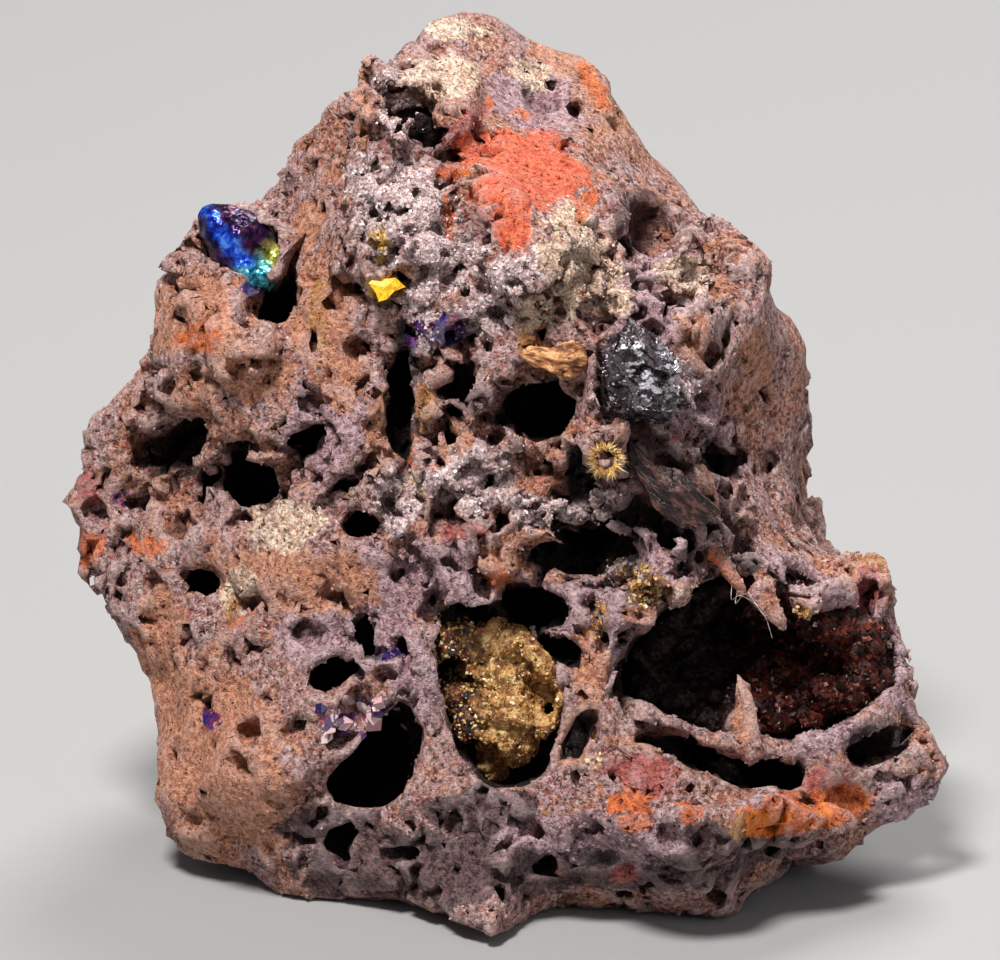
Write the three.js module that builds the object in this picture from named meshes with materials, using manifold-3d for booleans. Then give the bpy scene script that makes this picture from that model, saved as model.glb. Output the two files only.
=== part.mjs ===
// A loose specimen of vuggy iron-oxide rock with natrojarosite grown in its hollows, about 45 mm across.
// The rock is laid out in the frame of its display face: x runs to the right, y runs up the face and
// z comes out of it. The face then leans back by FACE_LEAN, and the bottom is flat where the rock rests.
// The finished group stands on z = 0 with its box centred on the origin, +Z up, the face looking along -Y.

import * as THREE from "three";
import { ConvexGeometry } from "three/addons/geometries/ConvexGeometry.js";
import { ImprovedNoise } from "three/addons/math/ImprovedNoise.js";
import { mergeVertices } from "three/addons/utils/BufferGeometryUtils.js";
import Module from "manifold-3d";

// Driving dimensions, in millimetres and degrees.
const FACE_LEAN = 20; // how far the display face leans back from upright
const FACE_HEIGHT = 23; // from the middle of the face to the tip of the rock's toe, the lowest point
const TOE_FORWARD = 7; // how far the toe stands out in front of the middle plane
const BACK_DEPTH = -17; // the back of the rock, behind the middle plane
const FIT_GAP = 0.35; // clearance between a crust and the rock that it grew on
const VUG_ROUGHNESS = 0.45; // how far a vug's wall wanders from its drawn outline
const BODY_ROUGHNESS = 1.1; // how far the outer surface wanders
const LUMP_SIZE = 4.5; // the size of the wandering
const RELIEF_SPREAD = 3; // how softly one height of the face runs into the next
const SHOULDER = 5; // how squarely the face turns into the sides: 2 is a ball, 10 nearly a box

const wasm = await Module();
wasm.setup();
const perlin = new ImprovedNoise();
const lean = THREE.MathUtils.degToRad(FACE_LEAN);

// The ground's height along the world's z axis, seen from the face's frame.
const groundLevel = -FACE_HEIGHT * Math.cos(lean) + TOE_FORWARD * Math.sin(lean);
// How far out of the face a point at height y has to be to lie on the ground.
const groundDepth = (y) => (groundLevel - y * Math.cos(lean)) / Math.sin(lean);

// The outline of the rock seen square to its face, clockwise from the peak: x, y and the depth of the rim.
const toe = (x, y) => [x, y, groundDepth(y) + 0.6];
const ROCK_OUTLINE = [
  [-3.0, 23.9, -7], [-5.2, 22.5, -4], [-6.9, 21.9, 0], [-7.6, 19.8, 1], [-9.1, 17.8, 0],
  [-11.9, 14.8, -2], [-12.8, 13.6, -3], [-15.0, 13.5, -2], [-16.3, 12.0, -2], [-17.7, 10.7, -3],
  [-17.4, 8.0, -3], [-17.8, 6.3, -3], [-19.1, 4.3, -4], [-20.5, 2.8, -4], [-21.4, 0.0, -4],
  [-22.3, -2.3, -4], [-21.3, -4.8, -4], [-19.8, -6.0, -4], [-18.9, -7.5, -4], [-18.5, -11.0, -3],
  [-17.5, -14.5, -2], [-16.5, -18.2, -2], toe(-15.3, -19.3), toe(-10.0, -20.6), toe(-6.5, -21.2),
  toe(-4.0, -21.8), toe(-1.5, -22.8), toe(0.6, -23.4), toe(0.9, -22.2), toe(2.3, -21.5),
  toe(5.0, -21.2), toe(7.5, -21.3), toe(10.7, -22.2), toe(12.8, -21.2), toe(14.8, -19.6),
  [17.2, -19.7, 0], [17.8, -18.4, 0], [21.2, -17.1, 0], [22.3, -15.7, 0], [22.3, -14.2, 0],
  [21.0, -13.1, 0], [20.9, -11.7, 0], [21.6, -10.5, 0], [21.4, -8.5, -1], [20.3, -7.5, -2],
  [19.7, -6.2, -4], [19.7, -3.8, -6], [17.0, -4.0, -6], [15.2, -3.2, -6], [15.2, -1.0, -7],
  [15.0, 0.8, -7], [15.3, 2.5, -7], [15.0, 4.8, -7], [15.6, 7.8, -6], [13.9, 9.8, -3],
  [13.9, 10.9, -2], [12.2, 12.0, -2], [10.7, 13.4, -4], [10.0, 14.8, -9], [7.8, 16.8, -10],
  [6.1, 19.4, -9], [4.9, 21.2, -9], [3.4, 22.6, -9], [1.2, 22.9, -9], [-0.5, 23.7, -8],
];

const ROCK_MIDDLE = new THREE.Vector2(-0.5, -1);

// How far the display face stands out at chosen places: x, y and the height there.
const FACE_RELIEF = [
  [-5, 20, 3.5], [-1, 20, -3], [3, 20, -7], [8, 15, -4.5], [-10, 15, 1], [-5, 14, 8], [0, 15, 8],
  [3.5, 13, 8.5], [9, 11, 7], [12.5, 10, 2], [-15, 10, 1.5], [-10, 8, 5.5], [-6, 6, 6], [0, 9, 9.5],
  [5, 8, 10], [10, 6, 7], [14, 4, -2], [-19, 1, -1], [-15, 1, 3.5], [-9, 2, 6.5], [-3, 1, 8],
  [3, 2, 8.5], [8, 3, 10], [13, 0, 3], [15, -2, -1], [-20, -3, -1], [-14, -6, 3.5], [-9, -5, 6],
  [-3, -5, 7], [3, -6, 7], [9, -5, 9], [16, -6, 4], [-16, -12, 2], [-12, -16, 5], [-8, -11, 6],
  [-3, -12, 7], [3, -12, 7.5], [9, -12, 9], [16, -11, 7], [20, -10, 3], [-4, -18, 6], [1, -19, 8],
  [8, -17, 10], [15, -16, 8], [20, -15, 4],
];

// Flat breaks on the sides and back: the way each faces, and its distance from the middle of the rock.
const BREAKS = [
  { facing: [-0.55, 0.25, -0.8], distance: 17.5 },
  { facing: [0.62, 0.1, -0.78], distance: 17.5 },
  { facing: [0.1, 0.72, -0.69], distance: 23.6 },
  { facing: [-0.9, -0.2, -0.4], distance: 22.4 },
  { facing: [0.15, -0.35, -0.92], distance: 17.2 },
];

// Pits in the sides and back: the way from the middle of the rock to each, and its radius.
const OUTER_PITS = [
  { toward: [-0.7, 0.45, -0.8], radius: 2.6 },
  { toward: [-0.35, 0.05, -1], radius: 2.2 },
  { toward: [0.75, 0.3, -0.8], radius: 2.8 },
  { toward: [0.5, -0.25, -1], radius: 2.4 },
  { toward: [0.1, 1, -0.6], radius: 2.2 },
  { toward: [-0.95, -0.5, -0.35], radius: 2.3 },
  { toward: [0.1, 0.5, -1], radius: 1.9 },
];

// A solid from a closed geometry whose doubled vertices are merged.
function solidOf(geometry) {
  const bare = geometry.clone();
  bare.deleteAttribute("normal");
  bare.deleteAttribute("uv");
  const merged = mergeVertices(bare, 1e-4);
  return new wasm.Manifold(
    new wasm.Mesh({
      numProp: 3,
      vertProperties: new Float32Array(merged.attributes.position.array),
      triVerts: new Uint32Array(merged.index.array),
    }),
  );
}

// The geometry of a solid, with flat faces.
function geometryOf(solid) {
  const mesh = solid.getMesh();
  const geometry = new THREE.BufferGeometry();
  geometry.setAttribute("position", new THREE.BufferAttribute(mesh.vertProperties, 3));
  geometry.setIndex(new THREE.BufferAttribute(mesh.triVerts, 1));
  const flat = geometry.toNonIndexed();
  flat.computeVertexNormals();
  return flat;
}

// Moves every vertex by a smooth wandering of the given size.
function roughen(geometry, amount, size = LUMP_SIZE) {
  const position = geometry.attributes.position;
  const point = new THREE.Vector3();
  for (let i = 0; i < position.count; i++) {
    point.fromBufferAttribute(position, i).divideScalar(size);
    const wander = (shift) => amount * perlin.noise(point.x + shift, point.y - shift, point.z + 2 * shift);
    position.setXYZ(
      i,
      position.getX(i) + wander(7.3),
      position.getY(i) + wander(19.1),
      position.getZ(i) + wander(31.7),
    );
  }
  return geometry;
}

// The middle of an outline's own box.
function middleOf(outline) {
  const box = new THREE.Box2().setFromPoints(outline.map(([x, y]) => new THREE.Vector2(x, y)));
  return box.getCenter(new THREE.Vector2());
}

// Where a ray from the centre leaves an outline: its length, and the outline's third value there.
function rimAt(outline, centre, angle) {
  const along = new THREE.Vector2(Math.cos(angle), Math.sin(angle));
  let rim = { radius: 0, depth: 0 };
  outline.forEach((start, i) => {
    const end = outline[(i + 1) % outline.length];
    const from = new THREE.Vector2(start[0], start[1]).sub(centre);
    const edge = new THREE.Vector2(end[0] - start[0], end[1] - start[1]);
    const turn = along.cross(edge);
    if (Math.abs(turn) < 1e-9) return;
    const radius = from.cross(edge) / turn;
    const share = from.cross(along) / turn;
    if (radius > rim.radius && share >= 0 && share <= 1) {
      rim = { radius, depth: THREE.MathUtils.lerp(start[2] ?? 0, end[2] ?? 0, share) };
    }
  });
  return rim;
}

// How far a side has turned from the rim, 0, to its middle, 1, at a share of the way out to the rim.
const turned = (share, power) => Math.sqrt(Math.max(0, 1 - share ** power));

// A rounded solid that fills an outline. near(x, y) and far(x, y) give how deep its two sides lie, and
// rim(depth, x, y) the depth of its widest section. A high power gives steep walls and a flat floor.
function fillOutline({ outline, centre, near, far, rim, power, segments, rings, inset = 0, behind }) {
  const ball = new THREE.SphereGeometry(1, segments, rings);
  ball.rotateX(Math.PI / 2);
  const position = ball.attributes.position;
  for (let i = 0; i < position.count; i++) {
    const angle = Math.atan2(position.getY(i), position.getX(i));
    const share = Math.min(1, Math.hypot(position.getX(i), position.getY(i)));
    const edge = rimAt(outline, centre, angle);
    const fullness = turned(share, power);
    const isFar = position.getZ(i) <= 0;
    const reach = isFar && behind ? behind(edge.radius, angle, fullness) : edge.radius;
    const radius = Math.max(reach - inset, 0.2) * share;
    const x = centre.x + radius * Math.cos(angle);
    const y = centre.y + radius * Math.sin(angle);
    const side = isFar ? far(x, y) + inset : near(x, y) - inset;
    position.setXYZ(i, x, y, THREE.MathUtils.lerp(rim(edge.depth, x, y), side, fullness));
  }
  return ball;
}

// Segments and rings for a solid that fills an outline, from the outline's length.
function fineness(outline) {
  const length = outline.reduce((sum, [x, y], i) => {
    const [nextX, nextY] = outline[(i + 1) % outline.length];
    return sum + Math.hypot(nextX - x, nextY - y);
  }, 0);
  return {
    segments: THREE.MathUtils.clamp(Math.round(length / 1.6), 9, 26),
    rings: THREE.MathUtils.clamp(Math.round(length / 4.5), 5, 8),
  };
}

// The height of the display face at a place, from the heights around it.
function faceHeight(x, y) {
  let total = 0;
  let weight = 0;
  for (const [px, py, height] of FACE_RELIEF) {
    const near = Math.exp(-((x - px) ** 2 + (y - py) ** 2) / (2 * RELIEF_SPREAD ** 2));
    total += near * height;
    weight += near;
  }
  return total / weight;
}

// The outer form of the rock before anything is hollowed out of it. Behind the rim its section shrinks to
// a rounder one, so that the small corners of the outline don't run through to the back.
function rockBody() {
  const ROUNDING = 0.45; // half the angle over which the outline is evened out, in radians
  const SHRINK = 0.93;
  const evened = (angle) => {
    const steps = [-1, -0.5, 0, 0.5, 1];
    const radii = steps.map((step) => rimAt(ROCK_OUTLINE, ROCK_MIDDLE, angle + step * ROUNDING).radius);
    return (SHRINK * radii.reduce((sum, radius) => sum + radius)) / radii.length;
  };
  const body = fillOutline({
    outline: ROCK_OUTLINE,
    centre: ROCK_MIDDLE,
    near: faceHeight,
    far: () => BACK_DEPTH,
    rim: (depth) => depth,
    behind: (radius, angle, fullness) =>
      THREE.MathUtils.lerp(radius, evened(angle), Math.min(1, 3 * fullness)),
    power: SHOULDER,
    segments: 75,
    rings: 21,
  });
  return solidOf(roughen(body, BODY_ROUGHNESS));
}

// How far the finished face stands out at a place, its rounded shoulders included.
function bodyHeight(x, y) {
  const angle = Math.atan2(y - ROCK_MIDDLE.y, x - ROCK_MIDDLE.x);
  const edge = rimAt(ROCK_OUTLINE, ROCK_MIDDLE, angle);
  const share = Math.min(1, Math.hypot(x - ROCK_MIDDLE.x, y - ROCK_MIDDLE.y) / edge.radius);
  return THREE.MathUtils.lerp(edge.depth, faceHeight(x, y), turned(share, SHOULDER));
}

// A flat break, as the block that it takes away.
function breakBlock({ facing, distance }) {
  const size = 80;
  const block = new THREE.BoxGeometry(size, size, size);
  block.translate(0, 0, distance + size / 2);
  const turn = new THREE.Quaternion().setFromUnitVectors(
    new THREE.Vector3(0, 0, 1),
    new THREE.Vector3(...facing).normalize(),
  );
  block.applyQuaternion(turn);
  return solidOf(block);
}

// A rough pit sunk in one of the flat breaks.
function outerPit({ toward, radius }) {
  const way = new THREE.Vector3(...toward).normalize();
  const reaches = BREAKS.map(({ facing, distance }) => {
    const square = way.dot(new THREE.Vector3(...facing).normalize());
    return square > 0 ? distance / square : Infinity;
  });
  const pit = new THREE.IcosahedronGeometry(radius, 1);
  pit.scale(1.2, 0.85, 1);
  const centre = way.multiplyScalar(Math.min(...reaches));
  pit.translate(centre.x, centre.y, centre.z);
  return solidOf(roughen(pit, radius / 2, 2));
}

// Everything below the ground, in the face's frame.
function groundBlock() {
  const size = 90;
  const block = new THREE.BoxGeometry(size, size, size);
  block.translate(0, 0, groundLevel - size / 2);
  block.rotateX(lean - Math.PI / 2);
  return solidOf(block);
}

// The blocks that stand proud of the face: an outline, and how far the block stands above its surroundings.
const PROUD_BLOCKS = [
  // The pitted block at the right of the middle, which overhangs the ribs below it.
  {
    outline: [[4.4, 6.8], [7.0, 8.6], [9.6, 5.2], [10.4, 2.4], [14.0, -0.4], [14.2, -3.0], [11.6, -4.2],
      [7.6, -3.2], [4.6, -1.4], [3.8, 1.8]],
    rise: 2.6,
  },
  // The crest that carries the red patch.
  {
    outline: [[-3.4, 15.6], [0.2, 15.8], [4.4, 14.2], [5.6, 11.6], [3.0, 8.6], [-0.4, 8.8], [-2.0, 11.2]],
    rise: 2.2,
  },
  // The pale knob at the top left.
  {
    outline: [[-7.2, 21.2], [-4.6, 21.4], [-1.4, 20.2], [-1.0, 17.6], [-3.4, 16.4], [-6.8, 16.8], [-7.6, 19.0]],
    rise: 3,
  },
  // The frosted shoulder below the knob.
  {
    outline: [[-8.2, 14.6], [-6.6, 16.2], [-3.6, 15.0], [-2.6, 11.0], [-4.8, 8.8], [-8.8, 9.6], [-9.2, 12.2]],
    rise: 2,
  },
  // The grainy orange lump at the upper left edge.
  {
    outline: [[-17.2, 8.8], [-14.8, 10.0], [-11.2, 8.6], [-10.6, 5.6], [-13.4, 4.4], [-16.8, 5.8]],
    rise: 2,
  },
  // The swelling at the lower left.
  {
    outline: [[-14.8, -12.4], [-11.0, -10.8], [-9.4, -14.6], [-10.2, -18.0], [-14.4, -18.2], [-15.6, -15.4]],
    rise: 1.8,
  },
  // The thick lip under the large vug.
  {
    outline: [[3.6, -15.8], [9.0, -15.9], [16.0, -15.9], [21.2, -13.8], [21.4, -15.8], [16.4, -18.4],
      [9.0, -19.4], [4.0, -18.8]],
    rise: 2.4,
  },
  // The bump behind the rim of the large vug.
  {
    outline: [[16.4, -3.8], [19.4, -3.6], [19.5, -6.4], [18.2, -7.6], [16.4, -6.2]],
    rise: 2,
  },
];

function proudBlock({ outline, rise }) {
  const footing = 4;
  const block = fillOutline({
    outline,
    centre: middleOf(outline),
    near: (x, y) => bodyHeight(x, y) + rise,
    far: (x, y) => bodyHeight(x, y) - footing,
    rim: (_, x, y) => bodyHeight(x, y),
    power: 6,
    segments: 16,
    rings: 7,
  });
  return solidOf(roughen(block, BODY_ROUGHNESS, 3));
}

// The vugs that open in the face: the outline of the mouth, and the depth below the face.
const VUGS = {
  large: {
    outline: [[5.6, -10.6], [6.0, -8.4], [7.8, -7.0], [10.0, -4.6], [11.8, -5.0], [14.4, -4.4], [17.0, -5.6],
      [19.0, -7.0], [20.3, -9.0], [19.9, -10.8], [17.4, -12.4], [15.0, -13.2], [10.0, -12.8], [7.4, -11.8]],
    depth: 9.5,
  },
  golden: {
    outline: [[-3.4, -6.6], [-1.4, -6.1], [1.0, -7.1], [2.4, -8.8], [3.5, -10.6], [3.7, -12.0], [3.0, -14.4],
      [1.4, -15.8], [-0.6, -15.7], [-1.8, -14.4], [-2.8, -12.0], [-3.3, -9.2]],
    depth: 7,
  },
  lowerLeft: {
    outline: [[-6.6, -12.2], [-5.4, -10.6], [-4.0, -10.8], [-3.7, -13.4], [-4.4, -16.0], [-6.0, -16.8],
      [-8.6, -16.4], [-9.0, -15.2], [-7.6, -14.4]],
    depth: 7,
  },
  underRib: {
    outline: [[6.4, -12.8], [9.4, -12.9], [12.2, -13.8], [15.6, -14.2], [15.0, -15.6], [12.0, -15.3],
      [9.0, -14.4], [6.8, -13.6]],
    depth: 7,
  },
  rightSlot: {
    outline: [[16.6, -13.2], [19.0, -12.4], [21.4, -11.9], [21.2, -13.2], [19.0, -14.4], [16.4, -14.6]],
    depth: 6,
  },
  middle: {
    outline: [[0.2, 4.6], [2.0, 5.0], [3.8, 4.7], [3.9, 3.2], [3.0, 2.2], [1.2, 2.3], [0.0, 3.4]],
    depth: 6.5,
  },
  trench: {
    outline: [[-5.6, 7.4], [-4.4, 7.8], [-4.2, 5.2], [-4.7, 2.8], [-3.8, 0.8], [-3.2, -0.6], [-5.2, 0.0],
      [-5.9, 2.6], [-5.6, 5.0]],
    depth: 5.5,
  },
  overRib: {
    outline: [[-0.2, -5.0], [2.0, -5.2], [3.6, -6.0], [3.4, -7.2], [2.0, -7.8], [0.8, -6.8], [-0.2, -6.2]],
    depth: 5,
  },
  sideRib: {
    outline: [[2.4, -7.9], [3.8, -7.7], [4.4, -9.2], [3.6, -9.8], [2.6, -9.2]],
    depth: 4,
  },
  leftEye: {
    outline: [[-10.0, -10.0], [-9.0, -8.8], [-7.4, -8.8], [-6.8, -9.6], [-7.8, -10.6], [-9.2, -11.0]],
    depth: 4.5,
  },
  leftCleft: {
    outline: [[-12.0, 9.4], [-11.2, 10.0], [-10.3, 11.6], [-9.9, 10.8], [-10.1, 9.0], [-10.3, 6.8],
      [-11.3, 7.6], [-12.0, 8.8]],
    depth: 6,
  },
  leftLong: {
    outline: [[-19.0, 1.0], [-18.6, 2.0], [-17.4, 2.0], [-15.6, 3.4], [-14.8, 2.8], [-14.5, 1.6],
      [-16.4, 0.8], [-18.2, 0.3]],
    depth: 5,
  },
  leftRound: {
    outline: [[-13.8, 0.2], [-12.8, 0.9], [-11.4, 0.8], [-10.8, -0.5], [-11.0, -1.5], [-12.8, -1.3]],
    depth: 4.5,
  },
  leftFork: {
    outline: [[-11.2, 2.3], [-10.0, 2.5], [-8.8, 3.5], [-8.5, 2.5], [-9.3, 0.6], [-10.2, 1.0]],
    depth: 4,
  },
  leftNotch: {
    outline: [[-16.4, -4.8], [-14.2, -4.1], [-14.2, -5.6], [-15.1, -5.6]],
    depth: 4,
  },
  besideMiddle: {
    outline: [[-8.4, -1.8], [-7.4, -1.3], [-5.8, -1.8], [-5.8, -3.0], [-7.5, -3.0]],
    depth: 4,
  },
  blockHole: {
    outline: [[9.8, 1.8], [11.0, 1.7], [12.2, 0.8], [11.8, 0.2], [10.2, 0.1]],
    depth: 4.5,
  },
  smoky: {
    outline: [[6.2, 12.2], [7.4, 14.2], [9.0, 13.8], [9.3, 12.0], [8.2, 11.2], [6.8, 11.2]],
    depth: 3.5,
  },
  crestGap: {
    outline: [[-5.2, 17.8], [-3.6, 17.6], [-1.4, 18.6], [-1.8, 17.6], [-3.6, 16.3], [-4.8, 16.4]],
    depth: 5,
  },
  besideRed: {
    outline: [[-3.4, 14.6], [-2.4, 15.0], [-1.2, 14.4], [-1.0, 12.4], [-1.6, 11.4], [-2.8, 12.6]],
    depth: 3.5,
  },
  underBlock: {
    outline: [[0.2, -3.2], [3.0, -3.3], [7.0, -3.8], [7.0, -4.9], [3.0, -4.7], [0.6, -4.0]],
    depth: 5,
  },
};

// How far the finished face stands out at a place, proud blocks included.
function surfaceAt(x, y) {
  const rises = PROUD_BLOCKS.filter(({ outline }) => {
    const centre = middleOf(outline);
    const angle = Math.atan2(y - centre.y, x - centre.x);
    return Math.hypot(x - centre.x, y - centre.y) < 0.9 * rimAt(outline, centre, angle).radius;
  }).map(({ rise }) => rise);
  return bodyHeight(x, y) + Math.max(0, ...rises);
}

// The space of a vug, or that space shrunk by an inset for what grew in it.
function vugGeometry({ outline, depth }, inset = 0) {
  const centre = middleOf(outline);
  const surface = surfaceAt(centre.x, centre.y);
  const mouth = 5;
  const vug = fillOutline({
    outline,
    centre,
    near: () => surface + mouth,
    far: () => surface - depth,
    rim: () => surface - depth / 3,
    power: 5,
    inset,
    ...fineness(outline),
  });
  return roughen(vug, VUG_ROUGHNESS);
}

const vugSolid = (vug, inset = 0) => solidOf(vugGeometry(vug, inset));

// A thorn of rock that stands on the floor of the large vug.
function thorn() {
  const height = 4.6;
  const shape = new THREE.ConeGeometry(1.1, height, 10, 4);
  shape.scale(1, 1, 1.6);
  shape.translate(12.2, -13.4 + height / 2, surfaceAt(12.2, -13.4) - 3.5);
  return solidOf(roughen(shape, 0.4, 1.5));
}

// The dark lustrous crystal set in the top of the pitted block, and the pocket that it sits in.
function crystalGeometry(grow = 1) {
  const corners = [
    [-1.7, -2.2, -2.4], [1.6, -2.4, -2.2], [2.0, 0.4, -2.4], [-0.4, 2.6, -2.4], [-1.9, 0.8, -2.2],
    [-1.5, -1.8, 1.0], [0.9, -2.1, 1.5], [1.8, -0.2, 1.1], [0.6, 1.3, 1.7], [-0.3, 2.2, 0.9], [-1.6, 0.9, 1.3],
  ];
  const crystal = new ConvexGeometry(corners.map((corner) => new THREE.Vector3(...corner)));
  crystal.scale(grow, grow, grow);
  crystal.translate(6.9, 5.4, surfaceAt(6.9, 5.4) - 0.4);
  return crystal;
}

// A cluster of rounded lumps, each a place and a radius, fused into one solid.
function lumpCluster(lumps) {
  const large = 2;
  return lumps
    .map(([x, y, z, radius]) => {
      const lump = new THREE.IcosahedronGeometry(radius, radius > large ? 2 : 1);
      lump.translate(x, y, z);
      return solidOf(roughen(lump, radius * 0.35, radius * 1.4));
    })
    .reduce((all, lump) => all.add(lump));
}

// The pocket at the upper left where the tarnished goethite sits.
const TARNISHED_POCKET = {
  outline: [[-15.4, 13.8], [-14.0, 14.0], [-12.2, 13.0], [-10.8, 11.6], [-11.4, 9.8], [-13.0, 10.0],
    [-14.2, 11.4]],
  depth: 3,
};

function rock() {
  const proud = PROUD_BLOCKS.map(proudBlock);
  const hollows = [...Object.values(VUGS), TARNISHED_POCKET].map((vug) => vugSolid(vug));
  const socket = solidOf(crystalGeometry(1 + FIT_GAP / 2));
  let solid = rockBody();
  for (const block of proud) solid = solid.add(block);
  for (const face of BREAKS) solid = solid.subtract(breakBlock(face));
  for (const hollow of hollows) solid = solid.subtract(hollow);
  for (const pit of OUTER_PITS) solid = solid.subtract(outerPit(pit));
  solid = solid.add(thorn()).subtract(socket).subtract(groundBlock());
  return largestPiece(solid);
}

// The biggest of the pieces that a solid falls into.
function largestPiece(solid) {
  return solid.decompose().reduce((a, b) => (a.volume() > b.volume() ? a : b));
}

// The golden crust of natrojarosite, lumps grown from the back and left wall of its vug.
function goldenCrust() {
  const floor = surfaceAt(0, -11) - VUGS.golden.depth;
  const lumps = lumpCluster([
    [0.4, -10.6, floor + 2.6, 2.5], [-1.4, -8.4, floor + 2.4, 1.9], [1.6, -9.2, floor + 3.4, 1.5],
    [1.9, -11.4, floor + 3.3, 1.6], [0.6, -12.6, floor + 2.8, 1.6], [-1.2, -12.2, floor + 2.0, 1.7],
    [-2.0, -10.2, floor + 2.2, 1.5], [-0.9, -14.4, floor + 1.6, 1.1], [0.6, -7.8, floor + 2.8, 1.2],
    [-2.4, -7.4, floor + 2.6, 0.9],
  ]);
  const backing = vugSolid(VUGS.golden, FIT_GAP);
  return largestPiece(lumps.intersect(backing));
}

// The red-brown druse that lines the back of the large vug, open towards the mouth.
function vugLining() {
  const thickness = 1.2;
  const setBack = 4.2; // how far below the face the lining starts
  const space = vugSolid(VUGS.large, FIT_GAP);
  const hollow = roughen(vugGeometry(VUGS.large, FIT_GAP + thickness), 1.6, 2.6);
  const front = new THREE.BoxGeometry(40, 40, 40);
  front.translate(13, -9, surfaceAt(13, -9) - setBack + 20);
  return largestPiece(space.subtract(solidOf(hollow)).subtract(solidOf(front)).subtract(thorn()));
}

// The tarnished, blue and violet goethite in the pocket at the upper left.
function tarnishedGoethite() {
  const level = surfaceAt(-13, 12);
  const lumps = lumpCluster([
    [-14.2, 12.8, level - 1.2, 1.5], [-12.9, 12.0, level - 1.0, 1.6], [-12.0, 10.9, level - 1.3, 1.4],
    [-13.3, 11.3, level - 1.7, 1.2],
  ]);
  return largestPiece(lumps.intersect(vugSolid(TARNISHED_POCKET, FIT_GAP)));
}

// One named sub-part in its own material.
function piece(name, solid, colour, roughness, metalness = 0) {
  const material = new THREE.MeshStandardMaterial({ color: colour, roughness, metalness });
  const mesh = new THREE.Mesh(geometryOf(solid), material);
  mesh.name = name;
  return mesh;
}

const face = new THREE.Group();
face.add(
  piece("rock", rock(), 0x8a6a66, 0.85),
  piece("natrojarosite_crust", goldenCrust(), 0xb8934a, 0.6),
  piece("vug_lining", vugLining(), 0x3e1a12, 0.45),
  piece("tarnished_goethite", tarnishedGoethite(), 0x2a4a8a, 0.25, 0.6),
  piece("hematite_crystal", solidOf(crystalGeometry()), 0x4a4648, 0.3, 0.8),
);
face.rotation.x = Math.PI / 2 - lean;

// Stands the specimen on the ground with its box centred on the origin.
const specimen = new THREE.Group();
specimen.add(face);
specimen.updateMatrixWorld(true);
const box = new THREE.Box3().setFromObject(specimen, true);
const middle = box.getCenter(new THREE.Vector3());
face.position.set(-middle.x, -middle.y, -box.min.z);

export default specimen;
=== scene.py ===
# A natrojarosite specimen: the looks of a loose, vuggy lump of iron-oxide rock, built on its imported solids.
# Shapes are worked in millimetres and turned into metres when a mesh is made. Places on the display face
# are given as x to the right, y up the face and out of the face, from the middle of the face.

import itertools
import math

import bpy
import numpy as np
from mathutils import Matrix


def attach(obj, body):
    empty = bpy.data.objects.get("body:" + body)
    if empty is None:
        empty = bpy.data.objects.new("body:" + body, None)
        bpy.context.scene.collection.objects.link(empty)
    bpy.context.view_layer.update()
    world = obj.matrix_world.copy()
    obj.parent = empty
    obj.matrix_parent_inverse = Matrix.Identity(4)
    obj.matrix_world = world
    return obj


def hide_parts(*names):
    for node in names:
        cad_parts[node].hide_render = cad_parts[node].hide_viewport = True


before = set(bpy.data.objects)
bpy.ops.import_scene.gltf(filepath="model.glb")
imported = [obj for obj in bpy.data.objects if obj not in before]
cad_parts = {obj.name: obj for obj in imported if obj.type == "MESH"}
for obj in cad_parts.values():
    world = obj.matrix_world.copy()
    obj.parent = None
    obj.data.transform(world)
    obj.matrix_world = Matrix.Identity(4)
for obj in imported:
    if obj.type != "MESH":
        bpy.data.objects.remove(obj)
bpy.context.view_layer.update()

import openvdb
from mathutils import Vector
from mathutils.bvhtree import BVHTree

MM = 0.001
FACE_LEAN = math.radians(20)
FACE_MIDDLE = np.array([-0.31, -2.02, 19.22])
FACE_AXES = np.array([
    [1.0, 0.0, 0.0],
    [0.0, math.sin(FACE_LEAN), math.cos(FACE_LEAN)],
    [0.0, -math.cos(FACE_LEAN), math.sin(FACE_LEAN)],
])

# The grid that the rock is worked on, in mm, and the triangles that are kept of it.
ROCK_VOXEL = 0.15
ROCK_TRIANGLES = 196000

# How many voxels on each side of a surface know their distance from it.
BAND = 10


# Places and noise

def to_face(points):
    return (points - FACE_MIDDLE) @ FACE_AXES.T


def from_face(points):
    return points @ FACE_AXES + FACE_MIDDLE


LATTICE = 64
directions = np.random.default_rng(11).normal(size=(LATTICE ** 3, 3))
GRADIENTS = (directions / np.linalg.norm(directions, axis=1, keepdims=True)).astype(np.float32)


def lattice_index(cell):
    """Which of the GRADIENTS belongs to each whole-numbered cell."""
    x, y, z = (cell & (LATTICE - 1)).T
    return (x * LATTICE + y) * LATTICE + z


def noise(points, size, seed):
    """Smooth gradient noise, about -1 to 1, whose bumps are about size across."""
    cell = (points / size + 13.7 * seed).astype(np.float32)
    base = np.floor(cell)
    part = cell - base
    fade = part * part * part * (part * (part * 6 - 15) + 10)
    base = base.astype(np.int32)
    total = np.zeros(len(points), np.float32)
    for corner in itertools.product((0, 1), repeat=3):
        index = lattice_index(base + np.array(corner, np.int32))
        share = np.ones(len(points), np.float32)
        for axis, side in enumerate(corner):
            share *= fade[:, axis] if side else 1 - fade[:, axis]
        away = part - np.array(corner, np.float32)
        total += share * np.einsum("ij,ij->i", GRADIENTS[index], away)
    return 1.6 * total


def fractal(points, size, octaves, seed, gain=0.5):
    """Several sizes of noise laid over each other, each half the size of the one before."""
    total = np.zeros(len(points), np.float32)
    for octave in range(octaves):
        total += gain ** octave * noise(points, size / 2 ** octave, seed + octave)
    return total


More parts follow.
